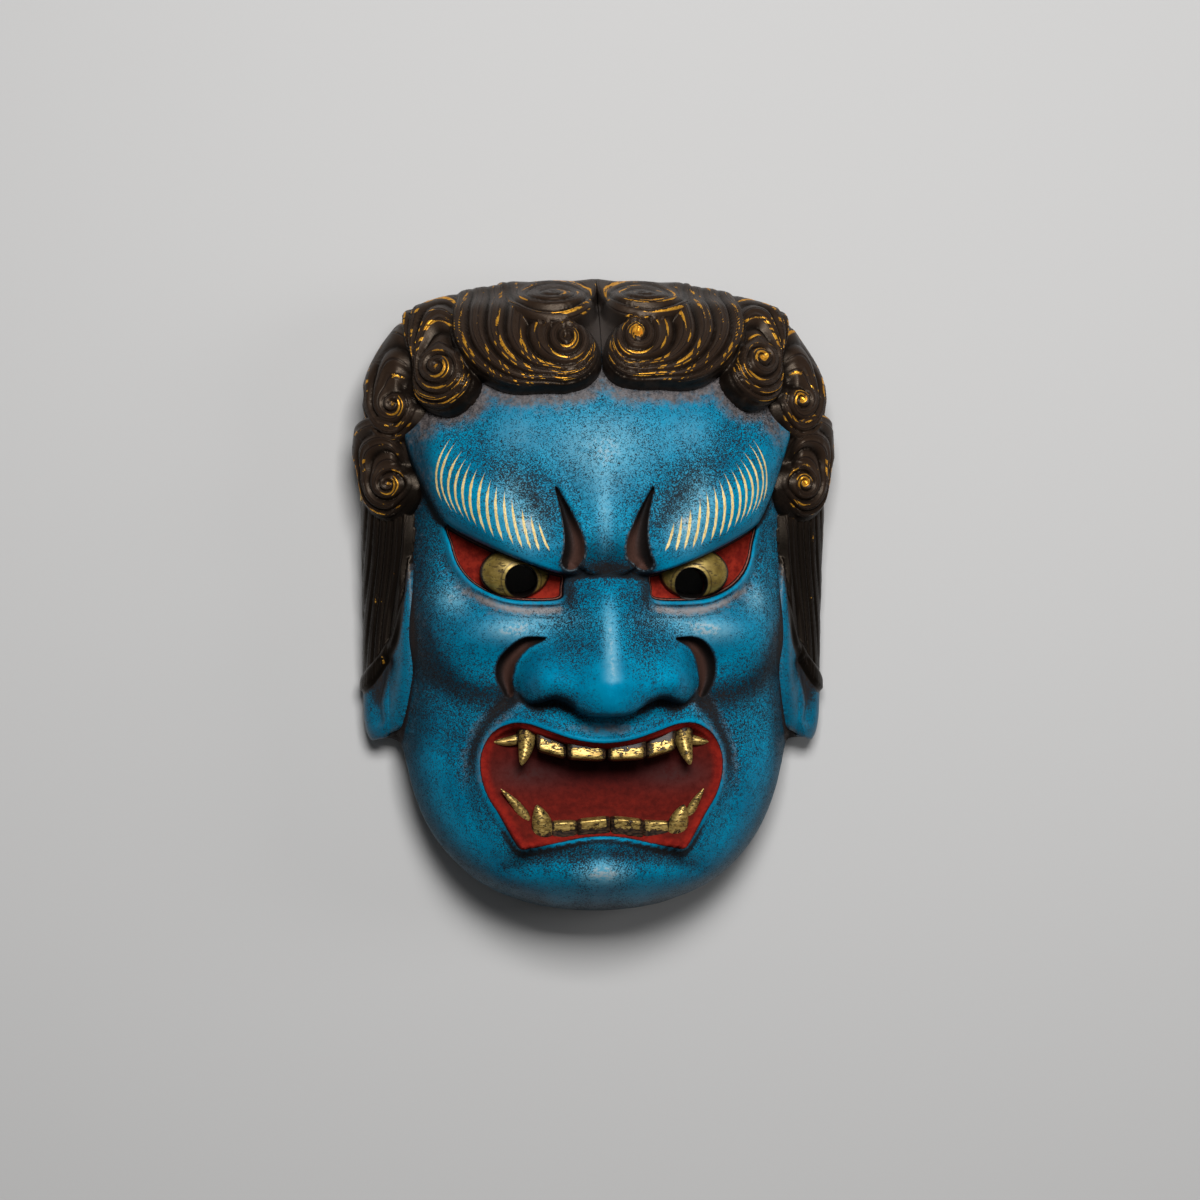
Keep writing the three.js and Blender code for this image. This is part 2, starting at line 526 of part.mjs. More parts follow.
let body = solid(block());
for (const side of [-1, 1]) for (const one of TEETH) body = body.add(tooth(one, side < 0));
const cuts = [hollow()];
for (const side of [-1, 1]) {
  cuts.push(round(PUPIL_RADIUS, 60, [(side * PUPIL_SPACING) / 2, PUPIL_HEIGHT, 55]));
  cuts.push(cordHole(side));
}
body = body.subtract(wasm.Manifold.union(cuts));

function named(name, geometry, paint) {
  geometry.translate(0, -MIDDLE, 0);
  const mesh = new THREE.Mesh(geometry, new THREE.MeshStandardMaterial(paint));
  mesh.name = name;
  return mesh;
}

const part = new THREE.Group();
part.add(named("mask", geometryOf(body), PAINT));
part.add(named("cord_eyelet_left", eyelet(-1), BRASS));
part.add(named("cord_eyelet_right", eyelet(1), BRASS));
export default part;
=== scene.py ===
# %% [markdown]
# # A guardian deity's mask
#
# The real mask is one block of carved wood, painted and rubbed with gold. It has bulging brows, fangs,
# scrolled hair and long ear lobes, and it is hollow behind. This lesson carves it again in Blender, around a
# plain solid that has the same size and outline. Each step says what the real surface is and how it is made
# here.
#
# The mask lies face up. X runs to the right, Y up to the hair, and Z out of the face.

# %% Load the plain solid
import math
import time

import bmesh
import bpy
import numpy as np
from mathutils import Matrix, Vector


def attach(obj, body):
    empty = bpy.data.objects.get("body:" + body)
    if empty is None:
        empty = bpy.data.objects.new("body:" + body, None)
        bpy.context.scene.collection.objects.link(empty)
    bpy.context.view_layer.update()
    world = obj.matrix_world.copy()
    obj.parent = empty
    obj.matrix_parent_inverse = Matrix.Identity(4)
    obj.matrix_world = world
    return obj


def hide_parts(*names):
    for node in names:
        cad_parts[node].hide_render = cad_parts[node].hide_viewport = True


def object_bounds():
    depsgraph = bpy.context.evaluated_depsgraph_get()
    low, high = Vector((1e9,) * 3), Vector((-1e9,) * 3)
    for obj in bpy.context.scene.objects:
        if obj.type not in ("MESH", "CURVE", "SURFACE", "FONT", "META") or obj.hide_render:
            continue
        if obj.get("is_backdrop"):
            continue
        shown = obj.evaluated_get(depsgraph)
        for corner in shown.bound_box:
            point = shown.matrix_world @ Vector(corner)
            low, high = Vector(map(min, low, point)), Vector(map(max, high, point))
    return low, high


started = time.time()
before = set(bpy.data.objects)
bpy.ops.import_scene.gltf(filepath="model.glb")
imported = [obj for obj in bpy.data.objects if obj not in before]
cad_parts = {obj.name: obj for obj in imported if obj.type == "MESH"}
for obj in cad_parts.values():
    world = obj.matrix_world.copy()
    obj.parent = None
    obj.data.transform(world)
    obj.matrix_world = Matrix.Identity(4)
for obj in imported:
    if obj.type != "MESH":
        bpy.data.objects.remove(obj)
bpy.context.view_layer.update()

# %% [markdown]
# ## The camera and the light
#
# The picture looks straight down on the mask from 1.6 m away, a little from its left. A long lens keeps the
# face's proportions. Three soft lamps light it. The key stands beyond the hair and lights the brows, nose and
# cheeks from above. A weak one on the right and a wide weak one beside the camera open the shadows.

# %% Camera
DISTANCE = 1.6
tilt = math.radians(4.3)
aim = Vector((0.00055, -0.00198, 0.040))
camera = bpy.data.objects.new("camera", bpy.data.cameras.new("camera"))
camera.data.lens = 132.2
camera.data.clip_start = 0.05
camera.location = aim + DISTANCE * Vector((-math.sin(tilt), 0, math.cos(tilt)))
camera.rotation_euler = (0, -tilt, 0)
bpy.context.scene.collection.objects.link(camera)
bpy.context.scene.camera = camera
print("camera at", [round(v, 3) for v in camera.location])


# %% Lamps
def lamp(name, place, size, watts):
    light = bpy.data.objects.new(name, bpy.data.lights.new(name, "AREA"))
    light.data.shape = "RECTANGLE"
    light.data.size, light.data.size_y = size
    light.data.energy = watts
    light.location = place
    light.rotation_euler = (aim - Vector(place)).to_track_quat("-Z", "Y").to_euler()
    bpy.context.scene.collection.objects.link(light)
    return light


lamp("key", place=(0.03, 0.43, 1.12), size=(0.45, 0.35), watts=17)
side_lamp = lamp("side", place=(0.95, 0.1, 0.6), size=(0.4, 0.4), watts=2.2)
fill_lamp = lamp("fill", place=(-0.2, -0.1, 1.5), size=(0.9, 0.9), watts=1.2)
side_lamp.visible_glossy = fill_lamp.visible_glossy = False
world = bpy.data.worlds.new("studio")
world.use_nodes = True
sky = world.node_tree.nodes["Background"].inputs
sky["Color"].default_value = (0.8, 0.85, 0.9, 1)
sky["Strength"].default_value = 0.04
bpy.context.scene.world = world
bpy.context.scene.view_settings.view_transform = "Standard"

# %% [markdown]
# ## Small mathematics of carving
#
# A carver works with a few kinds of cut: a smooth step, a rounded mound, a groove along a drawn line, and a
# hollow inside an outline. Each becomes a small function here. They take arrays, so one call carves a hundred
# thousand points. Lengths are in millimetres until a mesh is made.


# %% Steps, mounds and smooth joins
def ease(a, b, t):
    s = np.clip((t - a) / (b - a), 0, 1)
    return s * s * (3 - 2 * s)


def mix(a, b, t):
    return a + (b - a) * t


def bell(d, width):
    return np.exp(-((d / width) ** 2))


def mound(x, y, cx, cy, rx, ry, height=1):
    return height * bell(np.hypot((x - cx) / rx, (y - cy) / ry), 1)


def mounds(x, y, *places):
    """The sum of several mounds, each given by its centre, its two radii and its height."""
    return sum(mound(x, y, *place) for place in places)


def soft_max(a, b, k):
    h = np.clip(0.5 + 0.5 * (a - b) / k, 0, 1)
    return mix(b, a, h) + k * h * (1 - h)


# %% A smooth graph through a few knots
def graph(knots, t):
    k = np.array(knots, float)
    place, value = k[:, 0], k[:, 1]
    t = np.clip(t, place[0], place[-1])
    i = np.clip(np.searchsorted(place, t, side="right") - 1, 0, len(place) - 2)
    before, after = np.maximum(i - 1, 0), np.minimum(i + 2, len(place) - 1)
    span = place[i + 1] - place[i]
    m0 = (value[i + 1] - value[before]) / (place[i + 1] - place[before]) * span
    m1 = (value[after] - value[i]) / (place[after] - place[i]) * span
    s = (t - place[i]) / span
    return mix(value[i], value[i + 1], s * s * (3 - 2 * s)) + m0 * s * (1 - s) ** 2 - m1 * s * s * (1 - s)


# %% A drawn line, and how far each point is from it
def line(points, closed=False, steps=12):
    p = np.array(points, float)
    if closed:
        p = np.vstack([p[-1:], p, p[:2]])
    else:
        p = np.vstack([2 * p[:1] - p[1:2], p, 2 * p[-1:] - p[-2:-1]])
    t = (np.arange(steps) / steps)[:, None]
    parts = []
    for a, b, c, d in zip(p[:-3], p[1:-2], p[2:-1], p[3:]):
        m0, m1 = (c - a) / 2, (d - b) / 2
        parts.append(b + m0 * t + (3 * (c - b) - 2 * m0 - m1) * t**2 + (2 * (b - c) + m0 + m1) * t**3)
    return np.vstack(parts + [p[-2:-1]])


def nearest(chords, x, y):
    """Distance to a line, share of the way along it, and side: 1 on its left, -1 on its right."""
    best = np.full(x.shape, 1e9)
    along, side = np.zeros(x.shape), np.ones(x.shape)
    for i, ((ax, ay), (bx, by)) in enumerate(zip(chords[:-1], chords[1:])):
        dx, dy = bx - ax, by - ay
        s = np.clip(((x - ax) * dx + (y - ay) * dy) / (dx * dx + dy * dy), 0, 1)
        ex, ey = x - ax - s * dx, y - ay - s * dy
        d = ex * ex + ey * ey
        closer = d < best - 1e-9
        best = np.where(closer, d, best)
        along = np.where(closer, (i + s) / (len(chords) - 1), along)
        side = np.where(closer, np.where(dx * ey - dy * ex >= 0, 1.0, -1.0), side)
    return np.sqrt(best), along, side


def distance(chords, x, y):
    return nearest(chords, x, y)[0]


def left_of(chords, x, y):
    """Distance to a line, positive on its left and negative on its right."""
    d, _, side = nearest(chords, x, y)
    return d * side


def inside(chords, x, y):
    """Distance to a closed line, negative inside."""
    odd = np.zeros(x.shape, bool)
    for (ax, ay), (bx, by) in zip(chords[:-1], chords[1:]):
        if ay != by:
            odd ^= ((ay > y) != (by > y)) & (x < ax + (y - ay) * (bx - ax) / (by - ay))
    return distance(chords, x, y) * np.where(odd, -1, 1)


# %% [markdown]
# ## The block before its features
#
# The outline is drawn once, for the half with positive X. Inside it the block is a domed head, with a lower
# band around it for the hair and ears. The rim at the back is flat, so the mask can lie on it. The carving is
# drawn from its own zero between the eyes, and MIDDLE moves the whole so that its outline is centred.

# %% Outline of the block
MIDDLE = 0.38
half_outline = [
    (0, 110.5), (24, 110), (44, 108), (57, 103.5), (67, 94.5), (75.5, 82), (80.5, 66), (82.4, 48),
    (82, 30), (81.6, 5), (81.2, -20), (81.2, -36), (80.7, -46), (78.6, -52), (74.4, -52.6),
    (70.9, -54.6), (69.2, -61), (65.8, -74), (60, -86.5), (51.6, -97), (40.6, -105.8), (23.6, -112.8),
]
outline = line(half_outline + [(0, -115.6)] + [(-x, y) for x, y in half_outline[:0:-1]], closed=True)
angles = np.linspace(0, 2 * math.pi, 1441)
radii = np.zeros(angles.shape)
for (ax, ay), (bx, by) in zip(outline[:-1], outline[1:]):
    dx, dy = np.cos(angles), np.sin(angles)
    cross = dx * (by - ay) - dy * (bx - ax)
    s = (dy * ax - dx * ay) / np.where(cross == 0, 1e-12, cross)
    far = (ax + s * (bx - ax)) * dx + (ay + s * (by - ay)) * dy
    radii = np.where((s >= -1e-9) & (s <= 1 + 1e-9), np.maximum(radii, far), radii)
print("half width", round(float(radii[0]), 1), "mm, crown", round(float(radii[360]), 1), "mm")


def outline_radius(angle):
    return np.interp(angle % (2 * math.pi), angles, radii)


def oval_radius(angle):
    return 1 / np.hypot(np.cos(angle) / 82, np.sin(angle) / 111)


# %% The domed head and its band
face_height = [
    (-115.6, 22), (-113.5, 35), (-107.5, 49), (-98, 57.5), (-80, 60), (-40, 60), (-10, 58), (20, 58), (45, 61),
    (65, 60), (80, 56), (92, 48.5), (101, 39), (107.5, 27), (110.5, 16)]
face_width = [
    (-115.6, 16), (-112.8, 28), (-105.8, 45), (-97, 56), (-86.5, 63.5), (-74, 69), (-60, 72.5), (-38, 74),
    (0, 74.5), (45, 73.5), (70, 74), (85, 73), (95, 68), (104, 56), (108.5, 44), (110.5, 20)]
band_foot = [(-50, 8), (0, 10), (45, 17), (80, 22), (110, 22)]


def head(x, y):
    across = np.abs(x) / graph(face_width, y)
    dome = graph(face_height, y) * np.sqrt(np.maximum(0, 1 - across**2.9))
    reach = np.hypot(x, y) / outline_radius(np.arctan2(y, x))
    roll = np.clip((reach - 0.8) / 0.2, 0, 1)
    return soft_max(dome, graph(band_foot, y) + 12 * np.sqrt(1 - roll * roll), 7)


# %% [markdown]
# ## The lines of the face
#
# These are the lines a carver would draw on the block: the edge and crest of a brow, the furrow beside the
# nose's root, the eye, the wing of the nose, the cheek and the mouth. They are drawn for one side and
# mirrored. A hand-carved face is never quite even, though. On this one the features lean to the right of the
# middle, by up to 3 mm, so a point's distance from the middle is measured from a leaning line.

# %% Drawn lines
brow_edge = line([
    (-9, 7.3), (0, 7.6), (9, 7.3), (15, 7.6), (25, 10.6), (39.4, 16.6), (54.6, 25), (60.5, 32.5), (66, 44),
    (70.5, 57), (73, 68)])
brow_crest = line([(74, 62), (66, 49.5), (57, 40), (46, 32), (33, 24.5), (19.5, 16.5)])
brow_valley = line([(58, 68), (46, 56), (35, 46), (26, 36), (20.5, 27)])
furrow_line = line([(17, 38.6), (14, 31), (11.8, 24), (10.8, 19), (11, 15), (12, 12.4)])
furrow_rim = line([(16.2, 40.5), (10.9, 32), (7.6, 22.5), (6.4, 14)])
eye_line = line([
    (54.6, 25.6), (53.6, 18.5), (50.8, 10.5), (45, 3.8), (36, -0.6), (26, -1.8), (15.9, -1.2), (14.3, 2.5),
    (14.7, 8.4), (25, 11.4), (39.4, 17.6)], closed=True)
eye_bag = line([(56, 13), (49.5, 1.5), (38, -5), (24, -6), (15, -3)])
wing_groove = line([(23.9, -15.4), (30.8, -17.4), (35.4, -22.8), (36.5, -29), (34.8, -35.2)])
nostril = line([(14.5, -39.4), (17.5, -38.2), (21, -38.4), (24, -40)])
cheek_edge = line([(35, -38.5), (45, -38.5), (57, -33.5), (67, -22), (76, -8)])
mouth_fold = line([(36, -38.5), (42.5, -45), (47.2, -55), (48.6, -67), (46.5, -79), (41, -90)])
half_mouth = [
    (10, -51.6), (19, -48.7), (27, -46), (33.5, -46), (39.6, -49.6), (43.2, -56.5), (43.4, -64), (41.2, -71.5),
    (37, -78.5), (32.6, -86.4), (29.6, -90.6), (26, -90.4), (17, -88.5), (8, -86.6)]
mouth_line = line(
    [(0, -52.8)] + half_mouth + [(0, -86)] + [(-x, y) for x, y in half_mouth[::-1]], closed=True)
lower_gum = line([(0, -77), (12, -78), (21, -80.4), (29, -76), (34.5, -69)])
chin_crease = line([(0, -92.8), (20, -94.5), (34, -97.5)])

# %% How the face leans off the middle
lean_left = [(-47, 0), (-38, 1.4), (-25, 1.5), (-16, 2.6), (-10, 2), (-2, 0.4), (8, -0.2), (40, 0), (66, 0)]
lean_right = [
    (-47, 0), (-38, 1.4), (-25, 1.5), (-16, 2.6), (-10, 2.7), (-2, 2.9), (8, 3), (30, 1.5), (40, 1.2),
    (66, 0.8)]


def halved(x, y):
    """How far out a point is from the line down the middle of the nose and brow."""
    lean = mix(graph(lean_left, y), graph(lean_right, y), ease(-18, 18, x))
    straight_ridge = 0.35 * bell(x, 12) * ease(-5, -12, y) + 0.9 * bell(x, 16) * ease(9, 14, y)
    near_outline = ease(68, 54, np.abs(x)) * ease(86, 66, y)
    return np.abs(x - lean * (1 - straight_ridge) * near_outline)


# %% [markdown]
# ## The upper face
#
# The brow is a swelling that ends in a sharp lower edge. It is carved as a raised band along its crest, with
# a valley above it and a deep curved furrow at its inner end. The furrow has a thin raised rim.

# %% Carve the upper face
def upper_face(x, y, base):
    d, t, side = nearest(brow_crest, x, y)
    swell = graph([(0, 3), (0.25, 8), (0.55, 14), (0.85, 14), (1, 12.5)], t)
    shape = np.where(side > 0, np.exp(-((d / 12.5) ** 4)), bell(d, 17))
    z = base + mounds(x, y, (0, 50, 30, 22, 4.5), (0, 22, 9.5, 22, 8), (64, 56, 12, 14, 3))
    z = z + swell * shape - 2.2 * bell(distance(brow_valley, x, y), 8)
    d, t, _ = nearest(furrow_rim, x, y)
    z = z + 1.3 * bell(d, 1.7) * np.sin(math.pi * mix(0.1, 0.95, t))
    return z - 5.5 * np.maximum(0, 1 - furrow(x, y) ** 2) ** 0.7


def furrow(x, y):
    d, t, _ = nearest(furrow_line, x, y)
    return d / graph([(0, 0.5), (0.3, 2), (0.55, 3.2), (0.8, 3.6), (1, 3.2)], t)


# %% [markdown]
# ## The nose, eyes and mouth
#
# The nose is a ridge that falls to two wings and is cut off steeply below. Each eye is a sunk socket behind a
# thin lid. The mouth is a deep recess with a closed floor, a beaded lip and a gum ridge for the lower teeth. The
# floor bends up too steeply for its two lower corners. It stands above the skin there, by up to 9.6 mm, which a
# view from straight above hides.

# %% Carve the nose
nose_ridge = [(-45, 88), (-36, 88.5), (-31, 88.3), (-25, 86), (-15, 79.5), (-5, 73), (3, 68.5), (9, 65)]
nose_under = [(0, -43.8), (7, -43.1), (14, -39.3), (19, -37.3), (24.5, -38.4), (30, -37.6), (35, -33)]


def nose(x, y):
    flank = graph([(-36, 0.78), (-20, 0.85), (-5, 0.95), (8, 0.8)], y)
    top = graph(nose_ridge, y) - flank * (np.hypot(x, 5) - 5) - 0.09 * np.maximum(0, x - 23) ** 2
    top = top + mounds(x, y, (0, -31, 10, 8, 2.5), (24, -28, 8.5, 9.5, 6.5))
    below = y - graph(nose_under, x)
    top = top - 6.5 * (1 - np.sqrt(1 - (1 - np.clip(below / 8, 0, 1)) ** 2))
    cut_off = -soft_max(-top, -(66 + 13 * below), 4)
    return soft_max(cut_off, 0, 3) - 4.5 * bell(distance(nostril, x, y), 1.7)


def wing(x, y):
    d, t, _ = nearest(wing_groove, x, y)
    return d / graph([(0, 0.6), (0.3, 2.5), (0.65, 3.2), (1, 1.5)], t)


# %% Carve the sockets and the mouth
def socket(x, y, z, base):
    edge = inside(eye_line, x, y)
    lid = z + 1.6 * bell(edge - 0.9, 1.2) * ease(13, 20, x)
    return mix(lid, base - 3.6, ease(0.5, -0.9, edge))


def mouth(x, y, z):
    edge = inside(mouth_line, x, y)
    lip = z + 1.1 * bell(edge - 0.8, 1.1)
    floor = 47.5 + 0.015 * (y + 57) ** 2 + 0.0045 * x * x + bell(distance(lower_gum, x, y), 1.3)
    ledge = graph([(-90, 4), (-75, 3.8), (-60, 3), (-54, 1.5), (-50, 2), (-47, 1.4), (-45, 0.8)], y)
    rim = z - 1.8 - 0.5 * np.maximum(0, -edge) - 3.5 * np.maximum(0, -edge - ledge)
    return mix(lip, soft_max(floor, rim, 1.5), ease(0.4, -0.8, edge))


# %% Carve the lower face, and join the halves
def lower_face(x, y, base):
    above = ease(-5, 2.5, left_of(cheek_edge, x, y))
    z = base + mounds(x, y, (0, -50, 33, 13, 8.5), (0, -89, 30, 9, 5), (0, -101, 21, 8.5, 6))
    z = z + mounds(x, y, (55, -52, 12, 12, -2.5), (62, 12, 9, 16, -1.5), (36, -66, 14, 20, 3))
    z = z + mounds(x, y, (38, -10.5, 16, 11, 11), (57, -14, 14, 18, 9)) * above
    d, t, _ = nearest(mouth_fold, x, y)
    z = z - 3 * bell(d, 3) * (1 - 0.8 * t)
    z = z - 2.2 * bell(distance(eye_bag, x, y), 2.6) - 2 * bell(distance(chin_crease, x, y), 4)
    z = soft_max(z, nose(x, y), mix(3.5, 8, ease(-2, -9, y) * ease(-22, -14, y)))
    z = z - 5.5 * np.maximum(0, 1 - wing(x, y) ** 2) ** 0.7
    return mouth(x, y, socket(x, y, z, base))


def face(x, y, base):
    half = halved(x, y)
    on_brow = ease(-0.9, 0.9, left_of(brow_edge, half, y))
    return mix(lower_face(half, y, base), upper_face(half, y, base), on_brow)


# %% [markdown]
# ## From a flat grid to the carved front
#
# The front starts as a square grid, pressed into a round one and then stretched to the outline. Its outer
# ring folds down to the flat rim. The cells are packed closer together in the middle, where the face has its
# detail.

# %% Where a point of the grid lies on the block
WALL_FROM = 0.88


def on_block(angle, share):
    """The point there, and its X and Y if the side wall were unrolled outwards."""
    front = np.minimum(1, share / WALL_FROM)
    radius = mix(oval_radius(angle), outline_radius(angle), ease(0.55, 0.97, front)) * front
    down = np.clip((share - WALL_FROM) / (1 - WALL_FROM), 0, 1)
    top = head(radius * np.cos(angle), radius * np.sin(angle))
    drawn_in = radius - 2.2 * down**2
    point = np.stack([drawn_in * np.cos(angle), drawn_in * np.sin(angle), top * (1 - down)], axis=-1)
    out = radius + down * top
    return point, out * np.cos(angle), out * np.sin(angle)


def outward(angle, share):
    def at(a, s):
        return on_block(a, np.clip(s, 0.04, 1))[0]

    along = at(angle + 0.04, share) - at(angle - 0.04, share)
    up = at(angle, share + 0.03) - at(angle, share - 0.03)
    n = np.cross(up, along)
    return n / np.linalg.norm(n, axis=-1, keepdims=True)


def press(u, v):
    """A square from -1 to 1, pressed into a disc: angle and share of the way out."""
    a, b = u * np.sqrt(1 - v * v / 2), v * np.sqrt(1 - u * u / 2)
    return np.arctan2(b, a), np.minimum(1, np.hypot(a, b))


# %% Meshes and their coordinates
def metres(x, y, z):
    return Vector((x, y - MIDDLE, z)) * 0.001


def read_points(mesh):
    flat = np.empty(len(mesh.vertices) * 3, np.float32)
    mesh.vertices.foreach_get("co", flat)
    return flat.reshape(-1, 3).astype(float)


def write_points(mesh, points_mm):
    moved = (points_mm - np.array([0, MIDDLE, 0])) * 0.001
    mesh.vertices.foreach_set("co", moved.astype(np.float32).ravel())
    mesh.update()


def write_value(mesh, name, values):
    layer = mesh.attributes.new(name, "FLOAT", "POINT")
    layer.data.foreach_set("value", np.asarray(values, np.float32))


def shade_smooth(mesh):
    mesh.polygons.foreach_set("use_smooth", np.ones(len(mesh.polygons), bool))


def piece(name, bm, smooth=True):
    mesh = bpy.data.meshes.new(name)
    bm.to_mesh(mesh)
    bm.free()
    obj = bpy.data.objects.new(name, mesh)
    bpy.context.scene.collection.objects.link(obj)
    if smooth:
        shade_smooth(mesh)
    return obj


def keep(obj, bm):
    """Turn the faces outwards, keep the mesh, and print what is left open and the volume."""
    bmesh.ops.recalc_face_normals(bm, faces=bm.faces)
    bm.to_mesh(obj.data)
    open_edges = sum(1 for e in bm.edges if not e.is_manifold)
    print(obj.name, "open edges:", open_edges, "ml:", round(bm.calc_volume() * 1e6, 1))
    bm.free()


# %% The carved front
FACE_CELLS = 300
PACKED_X, PACKED_Y = 0.22, 0.16
bm = bmesh.new()
bmesh.ops.create_grid(bm, x_segments=FACE_CELLS, y_segments=FACE_CELLS, size=1)
face_piece = piece("mask_carving", bm)
flat = read_points(face_piece.data)
u, v = flat[:, 0], flat[:, 1]
on_edge = np.maximum(np.abs(u), np.abs(v)) > 1 - 1e-5
angle, share = press(u * (1 - PACKED_X + PACKED_X * u * u), v * (1 - PACKED_Y + PACKED_Y * v * v))
share = np.where(on_edge, 1.0, share)
points = on_block(angle, share)[0]
front = share <= WALL_FROM
points[front, 2] = face(points[front, 0], points[front, 1], points[front, 2])
points[on_edge, 2] = 0
write_points(face_piece.data, points)
print("front carved:", len(face_piece.data.polygons), "faces,", round(time.time() - started, 1), "s")

# %% [markdown]
# ## The hollow behind
#
# A worn mask is hollowed with a gouge to a smooth bowl. The bowl is half a sphere, stretched to the right
# width, height and depth. A flat rim joins it to the front.


# %% Hollow the back and join it to the rim
HOLLOW_X, HOLLOW_Y = 68, 93


def hollow_depth(reach, y):
    """How deep the bowl is, from its reach: 0 in the middle, 1 at its edge."""
    return np.sqrt(np.maximum(0, 1 - np.minimum(1, reach) ** 2.6)) * mix(37, 46, ease(-60, 0, y))


bm = bmesh.new()
bm.from_mesh(face_piece.data)
rim = [e for e in bm.edges if e.is_boundary]
bowl = bmesh.ops.create_uvsphere(bm, u_segments=144, v_segments=48, radius=1)["verts"]
bmesh.ops.delete(bm, geom=[p for p in bowl if p.co.z < -1e-4], context="VERTS")
bowl = [p for p in bowl if p.is_valid]
bmesh.ops.reverse_faces(bm, faces=list({f for p in bowl for f in p.link_faces}))
for p in bowl:
    reach, y = math.hypot(p.co.x, p.co.y), p.co.y * HOLLOW_Y
    z = float(hollow_depth(reach, y)) if p.co.z > 1e-4 else 0.0
    p.co = metres(p.co.x * HOLLOW_X, y, z)
bowl = set(bowl)
bmesh.ops.bridge_loops(bm, edges=rim + [e for e in bm.edges if e.is_boundary and e.verts[0] in bowl])
keep(face_piece, bm)


# %% [markdown]
# ## Sight holes and cord holes
#
# The pupils are drilled right through, and a small hole in each side wall takes the cord. A round rod is cut
# away with a Boolean modifier, and the result is kept as the piece's mesh.


# %% Drill the holes
def rod(name, radius, length, place_mm, across=False, sides=64):
    bm = bmesh.new()
    radius, length = radius * 0.001, length * 0.001
    bmesh.ops.create_cone(bm, cap_ends=True, segments=sides, radius1=radius, radius2=radius, depth=length)
    if across:
        lie_down = Vector((0, 0, 1)).rotation_difference(Vector((1, 0, 0))).to_matrix()
        bmesh.ops.rotate(bm, verts=bm.verts, cent=(0, 0, 0), matrix=lie_down)
    bmesh.ops.translate(bm, verts=bm.verts, vec=metres(*place_mm))
    return piece(name, bm)


def drill(obj, *rods):
    for tool in rods:
        cut = obj.modifiers.new("cut", "BOOLEAN")
        cut.operation, cut.object, cut.solver = "DIFFERENCE", tool, "MANIFOLD"
    graph_now = bpy.context.evaluated_depsgraph_get()
    result = bpy.data.meshes.new_from_object(obj.evaluated_get(graph_now))
    result.materials.clear()
    result.polygons.foreach_set("material_index", np.zeros(len(result.polygons), np.int32))
    obj.modifiers.clear()
    old, obj.data = obj.data, result
    bpy.data.meshes.remove(old)
    for tool in rods:
        bpy.data.meshes.remove(tool.data)


def at_back(mesh):
    """Which faces are the hollow or the flat rim."""
    middle = np.empty(len(mesh.polygons) * 3, np.float32)
    mesh.polygons.foreach_get("center", middle)
    x, y, z = (middle.reshape(-1, 3).astype(float) * 1000 + np.array([0, MIDDLE, 0])).T
    reach = np.hypot(x / HOLLOW_X, y / HOLLOW_Y)
    return (z < 0.01) | ((reach < 1) & (z < hollow_depth(reach, y) + 0.4))


PUPILS = ((-29.1, 5.2), (32.1, 4.2))
SIGHT_RADIUS = 5.75
CORD_AT = (37.6, 12)
CORD_RADIUS, SLEEVE_RADIUS = 1.2, 2.3
drill(face_piece, *[rod("drill", SIGHT_RADIUS + 0.15, 60, (*pupil, 60)) for pupil in PUPILS],
      *[rod("cord", CORD_RADIUS, 40, (side * 69.6, *CORD_AT), across=True, sides=24) for side in (-1, 1)],
      *[rod("sleeve", SLEEVE_RADIUS, 12, (side * 84.3, *CORD_AT), across=True, sides=32) for side in (-1, 1)])
print("holes drilled:", len(face_piece.data.polygons), "faces,", round(time.time() - started, 1), "s")

# %% [markdown]
# ## The hair
#
# The hair is carved in scrolled locks. A lock is a low cushion that winds into a curl, with strands that
# follow its edge. The table gives each lock's centre, its reach in twelve directions from +X round, the size
# and rings of its curl, its number of strands, its thickness and the gold knob in its eye. Where two locks
# meet, the higher one shows. Straight hair hangs below them, and the ear lobes come out from under it.

# %% Locks of hair
hairline = line([
    (-20, 86), (0, 83), (20, 86), (43, 81.5), (58, 77), (66.5, 68), (70, 56), (70.8, 35), (70.9, 22),
    (71.8, 12), (72.7, -5.9), (74, -16), (75.6, -20.5), (78, -25), (81.3, -30), (84, -33.5), (92, -41)])
curled_locks = [
    dict(at=(12.6, 90.7), reach=(42, 47, 62, 16, 10, 10.8, 12, 14.5, 16.4, 17.5, 20.3, 31.2),
         curl=8.2, rings=2.5, strands=5, thick=7.8, squash=1, bare=0, knob=2.1),
    dict(at=(57.2, 81.8), reach=(12, 15, 27, 46, 30, 13, 11.8, 14, 15.4, 17.4, 16.4, 13.4),
         curl=6.2, rings=1.8, strands=4, thick=7.3, squash=1, bare=1, knob=1.3),
    dict(at=(73.9, 69.4), reach=(14, 16, 26, 46, 30, 12, 9, 9.6, 12.5, 16.5, 16, 14),
         curl=4.4, rings=1.3, strands=3, thick=5.8, squash=1, bare=1, knob=1.2),
    dict(at=(75.6, 40.8), reach=(14, 17, 28, 26, 10, 8, 7.6, 8.4, 11, 15, 15, 14),
         curl=5.2, rings=1.6, strands=3, thick=5.4, squash=1, bare=1, knob=1.2),
]
crown_lock = dict(at=(16.3, 108), reach=(19, 24, 45, 57, 45, 24, 16, 18, 21.5, 24.3, 23.5, 20.5),
                  curl=12.5, rings=2.6, strands=1.2, thick=9.4, squash=1.8, bare=0)


def hashed(t):
    """Smooth noise along a line, from 0 to 1."""
    low = np.floor(t)
    here, after = (np.sin(low * 12.9898) * 43758.5) % 1, (np.sin((low + 1) * 12.9898) * 43758.5) % 1
    return mix(here, after, ease(0, 1, t - low))


def crests(phase):
    """Ropes side by side: 0 in the cut between two, near 1 on top, with a fine line along the crown."""
    across = phase % 1
    return np.abs(np.sin(math.pi * across)) ** 0.6 - 0.24 * bell(across - 0.5, 0.09)


